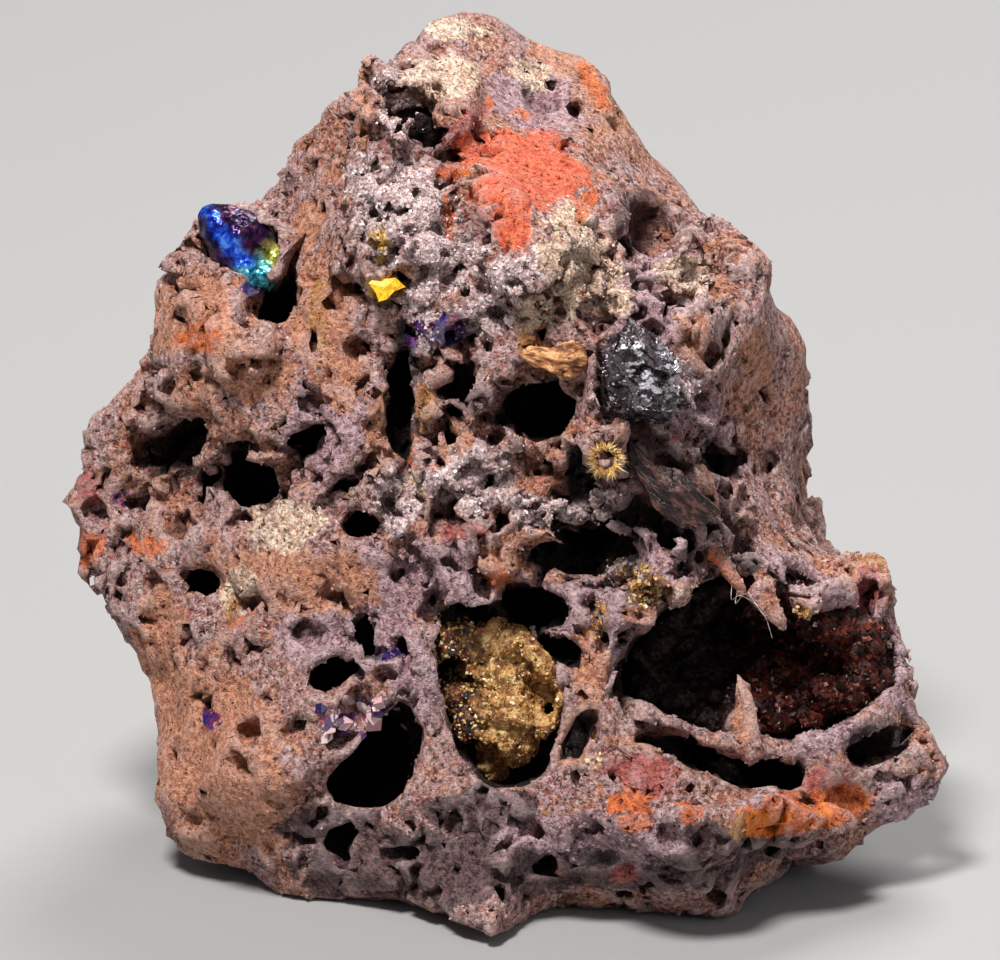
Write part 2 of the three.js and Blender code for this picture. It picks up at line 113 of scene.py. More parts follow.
def crumble(points, size, seed):
    """Heights that break a surface into small faces, each tilted its own way, about -0.7 to 0.7."""
    cell = (points / size + 5.1 * seed).astype(np.float32)
    base = np.floor(cell).astype(np.int32)
    nearest = np.full(len(points), 9.0, np.float32)
    height = np.zeros(len(points), np.float32)
    for corner in itertools.product((-1, 0, 1), repeat=3):
        at = base + np.array(corner, np.int32)
        index = lattice_index(at)
        away = cell - at - 0.5 - 0.5 * GRADIENTS[index]
        distance = np.einsum("ij,ij->i", away, away)
        tilt = np.einsum("ij,ij->i", away, GRADIENTS[(7 * index + 3) % len(GRADIENTS)])
        closer = distance < nearest
        nearest = np.where(closer, distance, nearest)
        height = np.where(closer, tilt, height)
    return height


def smoothstep(low, high, value):
    share = np.clip((value - low) / (high - low), 0, 1)
    return share * share * (3 - 2 * share)


def turned(across, up, degrees):
    """Two face coordinates along directions that are turned by some degrees."""
    angle = math.radians(degrees)
    return across * math.cos(angle) + up * math.sin(angle), up * math.cos(angle) - across * math.sin(angle)


def oval_reach(across, up, oval):
    """How far out from an oval's middle each place lies: 0 there and 1 on its rim."""
    x, y, half_width, half_height, turn = oval
    along, aside = turned(across - x, up - y, turn)
    return np.hypot(along / half_width, aside / half_height)


def patches(places, ovals, seed, wander=0.35, size=1.6):
    """How far inside a set of ragged ovals on the face each place lies: 1 in the middle, 0 outside.
    Each oval is x, y, half width, half height and its turn in degrees."""
    best = np.zeros(len(places), np.float32)
    ragged = wander * fractal(places, size, 3, seed)
    for oval in ovals:
        reach = oval_reach(places[:, 0], places[:, 1], oval)
        best = np.maximum(best, smoothstep(1.25, 0.7, reach + ragged))
    return best


# Volumes: signed distances on a grid of voxels, negative inside

class Volume:
    def __init__(self, low, values, voxel):
        self.low = np.array(low)
        self.values = values
        self.voxel = voxel

    def places(self, index):
        return (index + self.low).astype(np.float32) * self.voxel

    def noise(self, size, seed):
        """Smooth noise over the whole grid, about -1 to 1, whose bumps are about size across."""
        cells = [
            (low + np.arange(count)) * self.voxel / size for low, count in zip(self.low, self.values.shape)
        ]
        firsts = [math.floor(cell[0]) - 1 for cell in cells]
        lattice = [math.floor(cell[-1]) - first + 3 for cell, first in zip(cells, firsts)]
        field = np.random.default_rng(seed).normal(size=lattice).astype(np.float32)
        for axis in (2, 1, 0):
            base = np.floor(cells[axis]).astype(int)
            part = (cells[axis] - base).astype(np.float32)
            shares = (
                (1 - part) ** 3 / 6,
                (3 * part ** 3 - 6 * part ** 2 + 4) / 6,
                (-3 * part ** 3 + 3 * part ** 2 + 3 * part + 1) / 6,
                part ** 3 / 6,
            )
            shape = [1, 1, 1]
            shape[axis] = -1
            mixed = 0
            for step, share in enumerate(shares):
                rows = np.take(field, base - 1 + step - firsts[axis], axis)
                rows *= share.reshape(shape)
                mixed = mixed + rows
            field = mixed
        return 1.9 * field

    def waves(self, *parts):
        """Several noises added up, each given as its height, its size and its seed."""
        return sum(height * self.noise(size, seed) for height, size, seed in parts)

    def window(self, centre, reach):
        """The slices and the places of the voxels in a box about a centre."""
        first = np.maximum(np.floor((centre - reach) / self.voxel).astype(int) - self.low, 0)
        last = np.floor((centre + reach) / self.voxel).astype(int) - self.low + 1
        last = np.minimum(last, self.values.shape)
        cut = tuple(slice(a, b) for a, b in zip(first, last))
        axes = [np.arange(a, b) for a, b in zip(first, last)]
        index = np.stack(np.meshgrid(*axes, indexing="ij"), -1).reshape(-1, 3)
        return cut, self.places(index)

    def sample(self, points):
        """The distance at any point, from the eight voxels around it."""
        cell = points / self.voxel - self.low
        cell = np.clip(cell, 0, np.array(self.values.shape) - 1.001)
        base = cell.astype(int)
        part = cell - base
        total = np.zeros(len(points))
        for corner in itertools.product((0, 1), repeat=3):
            share = np.ones(len(points))
            for axis, side in enumerate(corner):
                share = share * (part[:, axis] if side else 1 - part[:, axis])
            total += share * self.values[tuple((base + np.array(corner)).T)]
        return total

    def blur(self, passes):
        for _ in range(passes):
            for axis in range(3):
                along = np.moveaxis(self.values, axis, 0)
                mixed = self.values.copy()
                np.moveaxis(mixed, axis, 0)[1:-1] = 0.5 * along[1:-1] + 0.25 * along[:-2] + 0.25 * along[2:]
                self.values = mixed

    def blurred(self, passes):
        """A softer copy of the volume."""
        soft = Volume(self.low, self.values.copy(), self.voxel)
        soft.blur(passes)
        return soft

    def carve(self, cut, distance):
        """Takes a shape, given by its distances in a window, out of the solid."""
        block = self.values[cut]
        self.values[cut] = np.maximum(block, -distance.reshape(block.shape))

    def add(self, cut, distance):
        """Joins a shape, given by its distances in a window, to the solid."""
        block = self.values[cut]
        self.values[cut] = np.minimum(block, distance.reshape(block.shape))

    def add_ball(self, centre, radius, margin):
        """Joins a ball to the solid, with the distances around it out to a margin."""
        cut, around = self.window(centre, radius + margin)
        self.add(cut, np.linalg.norm(around - centre, axis=1) - radius)

    def polygons(self, level=0.0):
        grid = openvdb.FloatGrid(float(self.values.max()))
        grid.transform = openvdb.createLinearTransform(voxelSize=self.voxel)
        grid.copyFromArray(self.values.astype(np.float32), ijk=tuple(int(v) for v in self.low))
        points, _, quads = grid.convertToPolygons(isovalue=level, adaptivity=0.0)
        return points, quads


def blurs(width, voxel):
    """How many passes soften a volume over about a width in mm."""
    return round((width / voxel) ** 2)


def volume_of(points, corners, voxel, band, margin=4):
    """The volume of a closed mesh of triangles or quads, in mm."""
    kind = "triangles" if corners.shape[1] == 3 else "quads"
    grid = openvdb.FloatGrid.createLevelSetFromPolygons(
        points.astype(np.float64),
        transform=openvdb.createLinearTransform(voxelSize=voxel),
        halfWidth=band,
        **{kind: corners.astype(np.uint32)},
    )
    low, high = grid.evalActiveVoxelBoundingBox()
    low = np.array(low) - margin
    shape = np.array(high) - low + 1 + margin
    values = np.zeros(tuple(shape), np.float32)
    grid.copyToArray(values, ijk=tuple(int(v) for v in low))
    return Volume(low, values, voxel)


# Meshes

def link(name, points, polygons):
    """A Blender object from points in mm."""
    mesh = bpy.data.meshes.new(name)
    mesh.vertices.add(len(points))
    mesh.vertices.foreach_set("co", points.astype(np.float32).ravel())
    sides = polygons.shape[1]
    mesh.loops.add(polygons.size)
    mesh.loops.foreach_set("vertex_index", polygons.astype(np.int32).ravel())
    mesh.polygons.add(len(polygons))
    mesh.polygons.foreach_set("loop_start", np.arange(0, polygons.size, sides, dtype=np.int32))
    mesh.update(calc_edges=True)
    mesh.validate()
    piece = bpy.data.objects.new(name, mesh)
    bpy.context.scene.collection.objects.link(piece)
    return piece


def read(items, key, kind=np.float32):
    """A property with three parts, such as a place, of each of a mesh's items."""
    values = np.zeros(len(items) * 3, kind)
    items.foreach_get(key, values)
    return values.reshape(-1, 3)


def mesh_points(piece):
    return read(piece.data.vertices, "co")


def mesh_normals(piece):
    return read(piece.data.vertex_normals, "vector")


def triangles_of(piece):
    piece.data.calc_loop_triangles()
    return read(piece.data.loop_triangles, "vertices", np.int32)


def node_polygons(name):
    """The points, in mm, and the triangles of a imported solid."""
    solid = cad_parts[name]
    return mesh_points(solid) / MM, triangles_of(solid)


def thin_out(piece, triangles, spare=None):
    """Decimates a piece to a number of triangles. spare is near 0 where the mesh has to stay fine."""
    polygons = piece.data.polygons
    sides = 2 if len(polygons[0].vertices) == 4 else 1
    ratio = triangles / (len(polygons) * sides)
    if ratio >= 1:
        return
    thin = piece.modifiers.new("thin", "DECIMATE")
    thin.ratio = ratio
    thin.use_collapse_triangulate = True
    if spare is not None:
        group = piece.vertex_groups.new(name="spare")
        steps = 8
        level = np.round(spare * steps).astype(int)
        for step in range(1, steps + 1):
            group.add(np.flatnonzero(level == step).tolist(), step / steps, "REPLACE")
        thin.vertex_group = group.name
        thin.vertex_group_factor = 0.15
    apply_modifiers(piece)
    piece.vertex_groups.clear()


def apply_modifiers(piece):
    graph = bpy.context.evaluated_depsgraph_get()
    mesh = bpy.data.meshes.new_from_object(piece.evaluated_get(graph))
    old = piece.data
    piece.modifiers.clear()
    piece.data = mesh
    bpy.data.meshes.remove(old)
    mesh.name = piece.name


def set_points(piece, points):
    piece.data.vertices.foreach_set("co", points.astype(np.float32).ravel())
    piece.data.update()


def push_out(piece, height):
    """Moves each point of a piece along its normal."""
    set_points(piece, mesh_points(piece) + mesh_normals(piece) * height[:, None])


def set_attribute(piece, name, values):
    layer = piece.data.attributes.new(name, "FLOAT", "POINT")
    layer.data.foreach_set("value", np.asarray(values, np.float32))


def smooth(piece, on=True):
    piece.data.polygons.foreach_set("use_smooth", np.full(len(piece.data.polygons), on))


def finish_piece(piece, slot, *nodes):
    """Turns a piece from mm to metres, hangs it on the root body and hides the imported solids that it
    replaces.
    """
    set_points(piece, mesh_points(piece) * MM)
    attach(piece, "root")
    if nodes:
        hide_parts(*nodes)


# The rock: its holes, pores and surface

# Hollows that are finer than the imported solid's: x, y, half width, half height, depth and turn in degrees.
HOLES = [
    (-2.45, 2.4, 0.72, 0.72, 2.2, 0), (-0.4, 2.7, 1.0, 0.6, 2.4, -20), (-2.4, -1.3, 0.8, 0.16, 1.2, 0),
    (-0.2, -1.3, 0.75, 0.17, 1.2, -28), (-1.25, 0.85, 0.5, 0.25, 1.2, 20), (-0.3, 0.5, 0.6, 0.22, 1.2, 0),
    (1.5, 0.8, 0.3, 0.55, 1.4, 10), (2.45, 1.3, 0.5, 0.35, 1.5, 20), (-6.9, 0.5, 0.8, 0.32, 1.8, 40),
    (-5.8, 0.0, 0.8, 0.3, 1.8, -35), (-4.9, -2.9, 0.35, 0.2, 1.0, 0), (-8.1, -3.1, 0.3, 0.2, 1.0, 0),
    (-8.6, -5.8, 1.0, 0.32, 1.6, 20), (-6.6, -5.4, 0.35, 0.22, 1.0, 30), (-4.5, -4.9, 0.3, 0.25, 1.0, 0),
    (-2.8, -4.0, 0.4, 0.35, 1.0, 60), (-6.9, -7.6, 0.5, 1.1, 2.4, -5), (-6.0, -8.8, 0.5, 0.4, 1.5, 0),
    (-5.8, -9.9, 0.7, 0.2, 1.2, 5), (-4.9, -8.1, 0.28, 0.25, 1.0, 0), (-0.9, -5.1, 0.16, 0.35, 1.0, 0),
    (-3.6, -6.5, 0.45, 0.5, 1.6, 0), (4.9, -8.4, 0.26, 0.24, 1.2, 0), (4.85, -6.7, 0.26, 1.5, 1.6, 3),
    (4.5, -13.0, 0.3, 0.5, 1.2, -10), (7.4, -5.7, 0.9, 0.7, 1.2, 10), (9.3, -2.3, 0.45, 0.4, 1.4, 0),
    (7.6, -2.5, 0.6, 0.35, 1.6, 0), (-5.6, 19.6, 0.75, 1.5, 2.4, 8), (-8.8, 13.2, 0.25, 0.5, 1.2, 20),
    (-6.2, 15.1, 0.3, 0.3, 1.0, 0), (-7.2, 13.5, 0.5, 0.25, 1.2, 20), (-5.1, 13.9, 0.55, 0.25, 1.2, -10),
    (-2.2, 10.4, 0.4, 0.28, 1.4, 25), (-2.5, 16.0, 0.7, 0.45, 2.0, 10), (-1.3, 15.4, 0.8, 0.4, 2.0, -25),
    (-2.6, 12.7, 0.4, 0.3, 1.3, 0), (-0.7, 12.1, 0.4, 0.4, 1.6, 0), (6.4, 12.0, 0.6, 0.8, 2.6, 10),
    (10.3, 11.5, 0.55, 0.95, 2.6, -15), (7.7, 9.4, 0.6, 0.42, 2.0, 0), (7.0, 8.5, 0.4, 0.3, 1.6, 0),
    (7.8, 7.8, 0.5, 0.38, 2.0, 10), (4.8, 7.8, 0.65, 0.5, 2.2, 20), (5.1, 6.7, 0.45, 0.38, 1.8, 15),
    (0.2, 9.0, 0.4, 0.32, 1.4, 0), (1.8, 9.0, 0.4, 0.26, 1.4, 20), (3.3, 10.4, 0.7, 0.25, 1.4, 15),
    (4.9, 10.4, 0.45, 0.4, 1.6, 0), (6.3, 10.7, 0.4, 0.25, 1.4, 0), (-14.8, 11.8, 0.85, 0.6, 1.8, -30),
    (12.0, -0.5, 0.55, 0.48, 1.6, 0), (11.4, -2.1, 0.5, 0.42, 1.6, 0), (10.4, -2.9, 0.4, 0.3, 1.4, 0),
    (3.8, 0.4, 0.45, 1.9, 2.6, 6), (5.0, -1.7, 0.7, 0.6, 2.2, 30), (13.1, 4.1, 0.6, 0.5, 1.8, 0),
    (10.3, 6.4, 0.7, 0.6, 2.4, 0), (10.1, 3.9, 0.4, 0.7, 1.8, 0), (11.9, 6.4, 0.35, 0.25, 1.2, 0),
    (13.6, 1.0, 0.45, 0.35, 1.5, 0), (-17.4, 5.6, 1.3, 0.42, 2.0, 4), (-13.2, 5.2, 0.8, 0.35, 1.6, -25),
    (-9.0, 7.2, 0.4, 0.7, 1.6, 0), (-7.3, 6.4, 0.4, 0.6, 1.5, 20), (-18.6, -0.8, 0.6, 0.35, 1.4, 0),
    (15.0, -4.4, 0.8, 0.14, 0.9, -25), (18.0, -6.0, 0.7, 0.14, 0.9, -50), (10.9, -4.2, 0.9, 0.4, 1.8, -20),
    (11.4, -13.7, 2.0, 0.9, 3.4, -10), (14.0, -14.8, 2.2, 0.95, 3.4, 6), (17.4, -13.2, 1.0, 0.7, 1.2, 14),
    (-10.6, 10.6, 0.55, 1.7, 3.2, -15), (-11.0, 8.8, 1.1, 1.8, 3.4, 8), (-6.2, -13.4, 1.9, 2.4, 3.4, 10),
    (-8.4, -9.8, 1.6, 1.0, 2.6, 10), (-5.0, 5.4, 0.7, 2.0, 2.6, 10), (-17.0, 8.2, 0.5, 0.4, 1.4, 0),
    (-1.0, 3.9, 0.6, 0.4, 1.8, 0), (-1.9, 4.9, 0.5, 0.42, 1.7, 10), (-3.0, 5.3, 0.4, 0.35, 1.4, 0),
    (-0.6, 6.6, 0.4, 0.3, 1.4, 0), (-12.4, -6.0, 0.6, 0.45, 1.6, 20), (-12.8, -12.4, 0.6, 0.4, 1.4, 30),
    (-14.6, -11.2, 0.4, 0.55, 1.4, 0), (2.4, -19.0, 0.9, 0.5, 1.8, 10), (-4.6, -18.6, 1.1, 0.5, 1.8, -10),
    (7.6, -18.9, 0.9, 0.45, 1.6, 0), (-16.7, 1.9, 1.8, 0.9, 1.3, 22), (-15.2, 2.8, 1.2, 0.7, 2.6, 30),
    (-12.3, -0.2, 1.8, 1.2, 3.2, -12), (-9.6, 2.5, 1.1, 0.7, 2.2, 20), (-6.9, -2.0, 1.1, 0.9, 2.6, 10),
    (-15.1, -4.9, 1.1, 0.75, 2.8, 10), (11.1, 0.9, 1.2, 0.75, 3.0, -32), (7.4, -1.6, 2.3, 1.2, 3.4, -35),
    (4.4, -2.8, 1.8, 0.8, 3.0, -20), (1.6, -6.2, 1.8, 1.2, 3.4, -12), (3.2, -8.5, 1.0, 1.0, 3.2, 20),
    (6.4, -9.9, 0.8, 2.1, 3.6, 0), (8.4, -7.0, 1.4, 0.8, 3.6, 35), (3.6, -12.8, 0.8, 1.8, 3.2, -25),
    (9.4, 1.6, 0.8, 0.4, 1.8, -40), (8.1, -12.9, 1.6, 0.9, 3.6, -14), (9.9, -13.4, 1.8, 1.1, 3.6, -10),
    (12.9, -14.6, 1.3, 0.8, 3.0, 12), (19.4, -9.9, 1.1, 1.5, 1.8, 15), (11.5, -13.9, 1.3, 0.8, 3.4, -12),
    (6.9, -8.3, 1.0, 1.0, 3.6, 40), (9.8, -5.9, 0.9, 0.55, 3.4, 30), (-11.4, 7.7, 0.85, 1.0, 5.0, 10),
    (-12.1, 8.9, 0.5, 0.9, 4.0, 0), (-10.1, 8.9, 0.4, 0.9, 3.6, 0), (-7.5, -16.1, 1.5, 1.3, 3.0, 20),
    (-7.9, -17.7, 1.1, 0.9, 2.6, 30), (8.6, 0.2, 2.2, 0.7, 2.2, -46), (6.2, -3.4, 1.2, 0.6, 2.6, -30),
    (7.0, 1.2, 0.7, 0.5, 2.2, -50), (8.6, -0.2, 1.1, 0.4, 2.4, -38), (6.4, -0.7, 0.45, 0.8, 2.2, 30),
]

# Where the rock is full of pores: x, y, half width, half height and turn of each oval.
SPONGY = [
    (0.5, 3.0, 5.0, 2.6, 0), (9.0, -0.2, 5.2, 4.0, -25), (-6.5, 10.5, 2.6, 2.0, 0),
    (-4.5, 19.0, 3.0, 3.0, 0), (9.5, 10.0, 2.6, 2.6, 0), (-3.0, -0.8, 5.0, 1.5, 0),
    (-14.5, 0.5, 5.5, 3.0, 0), (7.0, -5.0, 3.0, 2.0, 0),
]

# Where its crust is nearly level but speckled with the finest pores.
SPECKLED = [
    (0.5, 8.5, 5.0, 4.0, 0), (-5.0, 13.5, 3.0, 3.4, 0), (7.0, 9.5, 3.0, 4.0, 0), (9.0, -1.0, 5.0, 4.5, -25),
    (0.0, -2.5, 6.0, 2.0, 0), (-4.5, 19.0, 3.0, 3.0, 0), (-3.0, 3.0, 7.0, 4.0, 0),
]

# Stretches that are compact, such as the back ridge, the red patch and the lower left.
COMPACT = [
    (3.5, 19.5, 7.0, 4.5, -35), (2.0, 15.0, 3.0, 2.6, 0), (-13.5, -13.0, 4.5, 6.5, 0),
    (1.2, 11.5, 1.6, 2.0, 20), (13.6, 4.0, 2.2, 5.6, 0), (-9.5, 10.0, 1.6, 3.0, 0),
    (-9.0, -4.6, 4.0, 1.4, -10),
]

# Stretches that are nearly level: the crust in the middle, the frosted knob, the right flank and the lower
# edge.
LEVEL = [
    (0.6, 9.0, 4.2, 2.8, 0), (-4.8, 13.4, 2.2, 2.6, 0), (14.2, -0.4, 3.0, 2.4, 0),
    (0.0, -19.2, 13.0, 2.2, 0),
]

# Thin ribs left standing in and between the vugs: both ends as x, y and out of the face, and two radii.
RIBS = [
    ((4.4, -5.6, 7.2), (4.2, -9.6, 6.6), 0.5, 0.45),
    ((-0.3, -6.6, 7.0), (3.4, -7.6, 6.9), 0.28, 0.34),
    ((10.9, -3.9, 5.2), (16.6, -5.8, 2.2), 0.55, 0.85),
    ((0.4, 4.2, 8.0), (2.0, 2.0, 7.6), 0.3, 0.3),
    ((-16.6, 2.6, 1.0), (-16.2, 0.4, 1.2), 0.3, 0.4),
    ((7.0, 14.4, 6.0), (8.0, 11.0, 6.0), 0.3, 0.35),
    ((12.0, -4.9, 4.6), (14.6, -6.3, 4.6), 0.55, 0.75),
    ((15.2, -6.2, 4.2), (16.8, -5.8, 1.8), 0.6, 0.8),
    ((16.6, -13.2, -3.8), (20.5, -12.7, -3.5), 1.4, 1.3),
    ((-15.6, 12.6, 0.2), (-13.9, 10.3, 1.7), 0.45, 0.5),
    ((-13.2, 13.8, 0.0), (-10.9, 12.1, 1.3), 0.45, 0.55),
    ((5.25, 0.9, 11.1), (5.25, 0.9, 9.6), 0.62, 0.85),
    ((1.4, 6.3, 8.6), (3.7, 5.5, 8.6), 0.7, 0.6),
]

# Slender spikes and blades in the mouth of the large vug, given in the same way.
SPIKES = [
    ((12.5, -13.6, 6.8), (12.15, -9.8, 6.6), 0.62, 0.17),
    ((13.0, -5.6, 5.0), (14.0, -7.5, 5.2), 0.65, 0.22),
    ((10.4, -3.0, 6.0), (12.2, -5.4, 6.0), 0.45, 0.20),
    ((13.3, -3.4, 3.6), (14.0, -5.0, 4.4), 0.40, 0.22),
]


def oval_distance(places, centre, radii, turn):
    """Roughly how far each place lies outside an ellipsoid whose first two radii lie in the face."""
    away = places - centre
    local = np.stack([*turned(away[:, 0], away[:, 1], turn), away[:, 2]], 1)
    reach = np.linalg.norm(local / radii, axis=1)
    slope = np.linalg.norm(local / np.square(radii), axis=1)
    return reach * (reach - 1) / np.maximum(slope, 1e-6)


def wobble_field(rock, amount, size, seed):
    """How far each voxel's place is moved about by noise, so that a plain shape comes out ragged."""
    shift = [rock.waves((1, size, seed + axis), (0.5, size / 2, seed + 3 + axis)) for axis in range(3)]
    return amount * np.stack(shift, -1)


def cut_holes(rock, tree, wobble):
    outside = 40.0
    for x, y, half_width, half_height, depth, turn in HOLES:
        start = from_face(np.array([x, y, outside]))
        hit = tree.ray_cast(Vector(start), Vector(-FACE_AXES[2]))[0]
        if hit is None:
            continue
        surface = to_face(np.array(hit))[2]
        centre = np.array([x, y, surface - 0.25 * depth])
        radii = np.array([half_width, half_height, 0.85 * depth])
        cut, places = rock.window(from_face(centre), radii.max() + 1.2)
        local = to_face(places + wobble[cut].reshape(-1, 3))
        rock.carve(cut, oval_distance(local, centre, radii, turn))


def add_ribs(rock, ribs, wobble):
    for start, end, thin, thick in ribs:
        start = np.array(start)
        end = np.array(end)
        middle = (start + end) / 2
        reach = np.linalg.norm(end - start) / 2 + 1.5
        cut, places = rock.window(from_face(middle), reach)
        local = to_face(places + wobble[cut].reshape(-1, 3))
        way = end - start
        share = np.clip((local - start) @ way / (way @ way), 0, 1)
        distance = np.linalg.norm(local - start - share[:, None] * way, axis=1)
        rock.add(cut, distance - (thin + (thick - thin) * share))


def face_grid(rock):
    """The voxels' places in the face's directions: across, up and out."""
    x, y, z = [(low + np.arange(count)) * rock.voxel for low, count in zip(rock.low, rock.values.shape)]
    across = (x - FACE_MIDDLE[0])[:, None, None]
    deep = (y - FACE_MIDDLE[1])[None, :, None]
    high = (z - FACE_MIDDLE[2])[None, None, :]
    up = deep * FACE_AXES[1][1] + high * FACE_AXES[1][2]
    out = deep * FACE_AXES[2][1] + high * FACE_AXES[2][2]
    return [part.astype(np.float32) for part in (across, up, out)]


def region_mask(rock, ovals, seed):
    """The ovals of a region as a ragged mask on the whole grid, seen square to the face."""
    across, up, _ = face_grid(rock)
    best = np.full(rock.values.shape, 9.0, np.float32)
    for oval in ovals:
        best = np.minimum(best, oval_reach(across, up, oval))
    return smoothstep(1.3, 0.7, best + 0.3 * rock.noise(1.4, seed))


# The pores: their size and depth in mm, how rare they are, their seed and the region where most of them are.
PORES = [
    (1.5, 1.0, 0.60, 31, "spongy"), (0.85, 0.6, 0.52, 35, "spongy"), (0.5, 0.4, 0.42, 39, "speckled"),
    (0.34, 0.3, 0.42, 42, "speckled"),
]


def roughen_rock(rock):
    """Lumps, ridges that are cut off flat, cracks and pores, in a band of voxels around the whole surface."""
    front = smoothstep(-6, -1, face_grid(rock)[2])
    spongy = region_mask(rock, SPONGY, 3) * front + 0.45 * (1 - front)
    speckled = np.maximum(region_mask(rock, SPECKLED, 5) * front, spongy)
    compact = region_mask(rock, COMPACT, 4)
    distance = rock.values.copy()

    lumps = rock.waves((0.3, 3.2, 20), (0.15, 1.5, 21), (0.08, 0.8, 22))
    ridges = 0.15 * (1 - 2 * np.abs(rock.noise(1.9, 28))) + 0.10 * (1 - 2 * np.abs(rock.noise(0.9, 29)))
    level = np.maximum(compact, 0.7 * np.maximum(speckled - spongy, 0))
    level = np.maximum(level, 1.2 * region_mask(rock, LEVEL, 6))
    distance -= (1 - 0.55 * level) * lumps + (1 - 0.7 * level) * ridges
    broken_off = rock.values - 0.06 - 0.08 * rock.noise(2.4, 27)
    distance = np.maximum(distance, broken_off)

    cracks = 0.06 - 0.9 * np.abs(rock.noise(2.6, 24)) - 0.4 * np.maximum(rock.noise(4.0, 25) + 0.2, 0)
    cracks -= 0.05 * level
    distance = np.maximum(distance, np.minimum(cracks, 0.4 + distance))
    regions = {"spongy": spongy, "speckled": speckled}
    for size, depth, rarity, seed, region in PORES:
        need = rarity + 0.45 * (1 - regions[region]) + 0.4 * compact
        pore = (rock.noise(size, seed) + 0.35 * rock.noise(size / 2, seed + 1) - need) * size * 0.7
        distance = np.maximum(distance, np.minimum(pore, depth + distance))

    band = np.abs(rock.values) < 1.5
    rock.values = np.where(band, distance, rock.values)


def rest_flat(rock):
    """Cuts the rock off level with the ground."""
    height = (np.arange(rock.values.shape[2]) + rock.low[2]) * rock.voxel
    rock.values = np.maximum(rock.values, -height[None, None, :].astype(np.float32))


def closed_depth(rock, points):
    """How deep each point lies below a skin stretched over the mouths of the hollows."""
    reach = 3.5
    deepest = 9
    step = round(0.54 / rock.voxel)
    coarse = Volume(rock.low // step, rock.values[::step, ::step, ::step], rock.voxel * step)
    grown = volume_of(*coarse.polygons(), coarse.voxel, math.ceil(reach / coarse.voxel) + 2)
    skin = volume_of(*grown.polygons(reach), coarse.voxel, math.ceil(deepest / coarse.voxel))
    return -skin.sample(points) - reach


def break_up(piece, soft):
    """Breaks the smooth surface up into small, sharp-edged faces, except on the thinnest ridges."""
    points = mesh_points(piece)
    coarse = 1 - 0.7 * patches(to_face(points), COMPACT + LEVEL, 55)
    height = 0.15 * coarse * crumble(points, 1.15, 1) + 0.09 * crumble(points, 0.55, 2)
    height *= smoothstep(0.30, 0.12, soft.sample(points))
    points += mesh_normals(piece) * height[:, None]
    points[:, 2] = np.maximum(points[:, 2], 0)
    set_points(piece, points)


def largest_part(points, quads):
    """The largest connected part of a mesh, without loose crumbs and closed bubbles."""
    labels = np.arange(len(points))
    changed = True
    while changed:
        before = labels.copy()
        least = labels[quads].min(1)
        for corner in range(4):
            np.minimum.at(labels, labels[quads[:, corner]], least)
        labels = labels[labels]
        changed = bool((labels != before).any())
    names, counts = np.unique(labels, return_counts=True)
    kept = labels == names[counts.argmax()]
    renumbered = np.cumsum(kept) - 1
    return points[kept], renumbered[quads[kept[quads[:, 0]]]]


def make_rock():
    """The rock as a volume, as a volume without its fine forms, and as a piece."""
    points, corners = node_polygons("rock")
    tree = BVHTree.FromPolygons(points.tolist(), corners.tolist())
    rock = volume_of(points, corners, ROCK_VOXEL, BAND)
    rock.blur(blurs(0.36, ROCK_VOXEL))
    wobble = wobble_field(rock, 0.36, 1.2, 51)
    add_ribs(rock, RIBS, wobble)
    cut_holes(rock, tree, wobble)
    roughen_rock(rock)
    add_ribs(rock, SPIKES, 0.4 * wobble)
    rest_flat(rock)
    soft = rock.blurred(blurs(0.44, ROCK_VOXEL))
    piece = link("rock_surface", *largest_part(*rock.polygons()))
    break_up(piece, soft)
    back = smoothstep(2, -4, to_face(mesh_points(piece))[:, 2])
    thin_out(piece, ROCK_TRIANGLES, 0.2 + 0.8 * back)
    smooth(piece)
    return rock, soft, piece


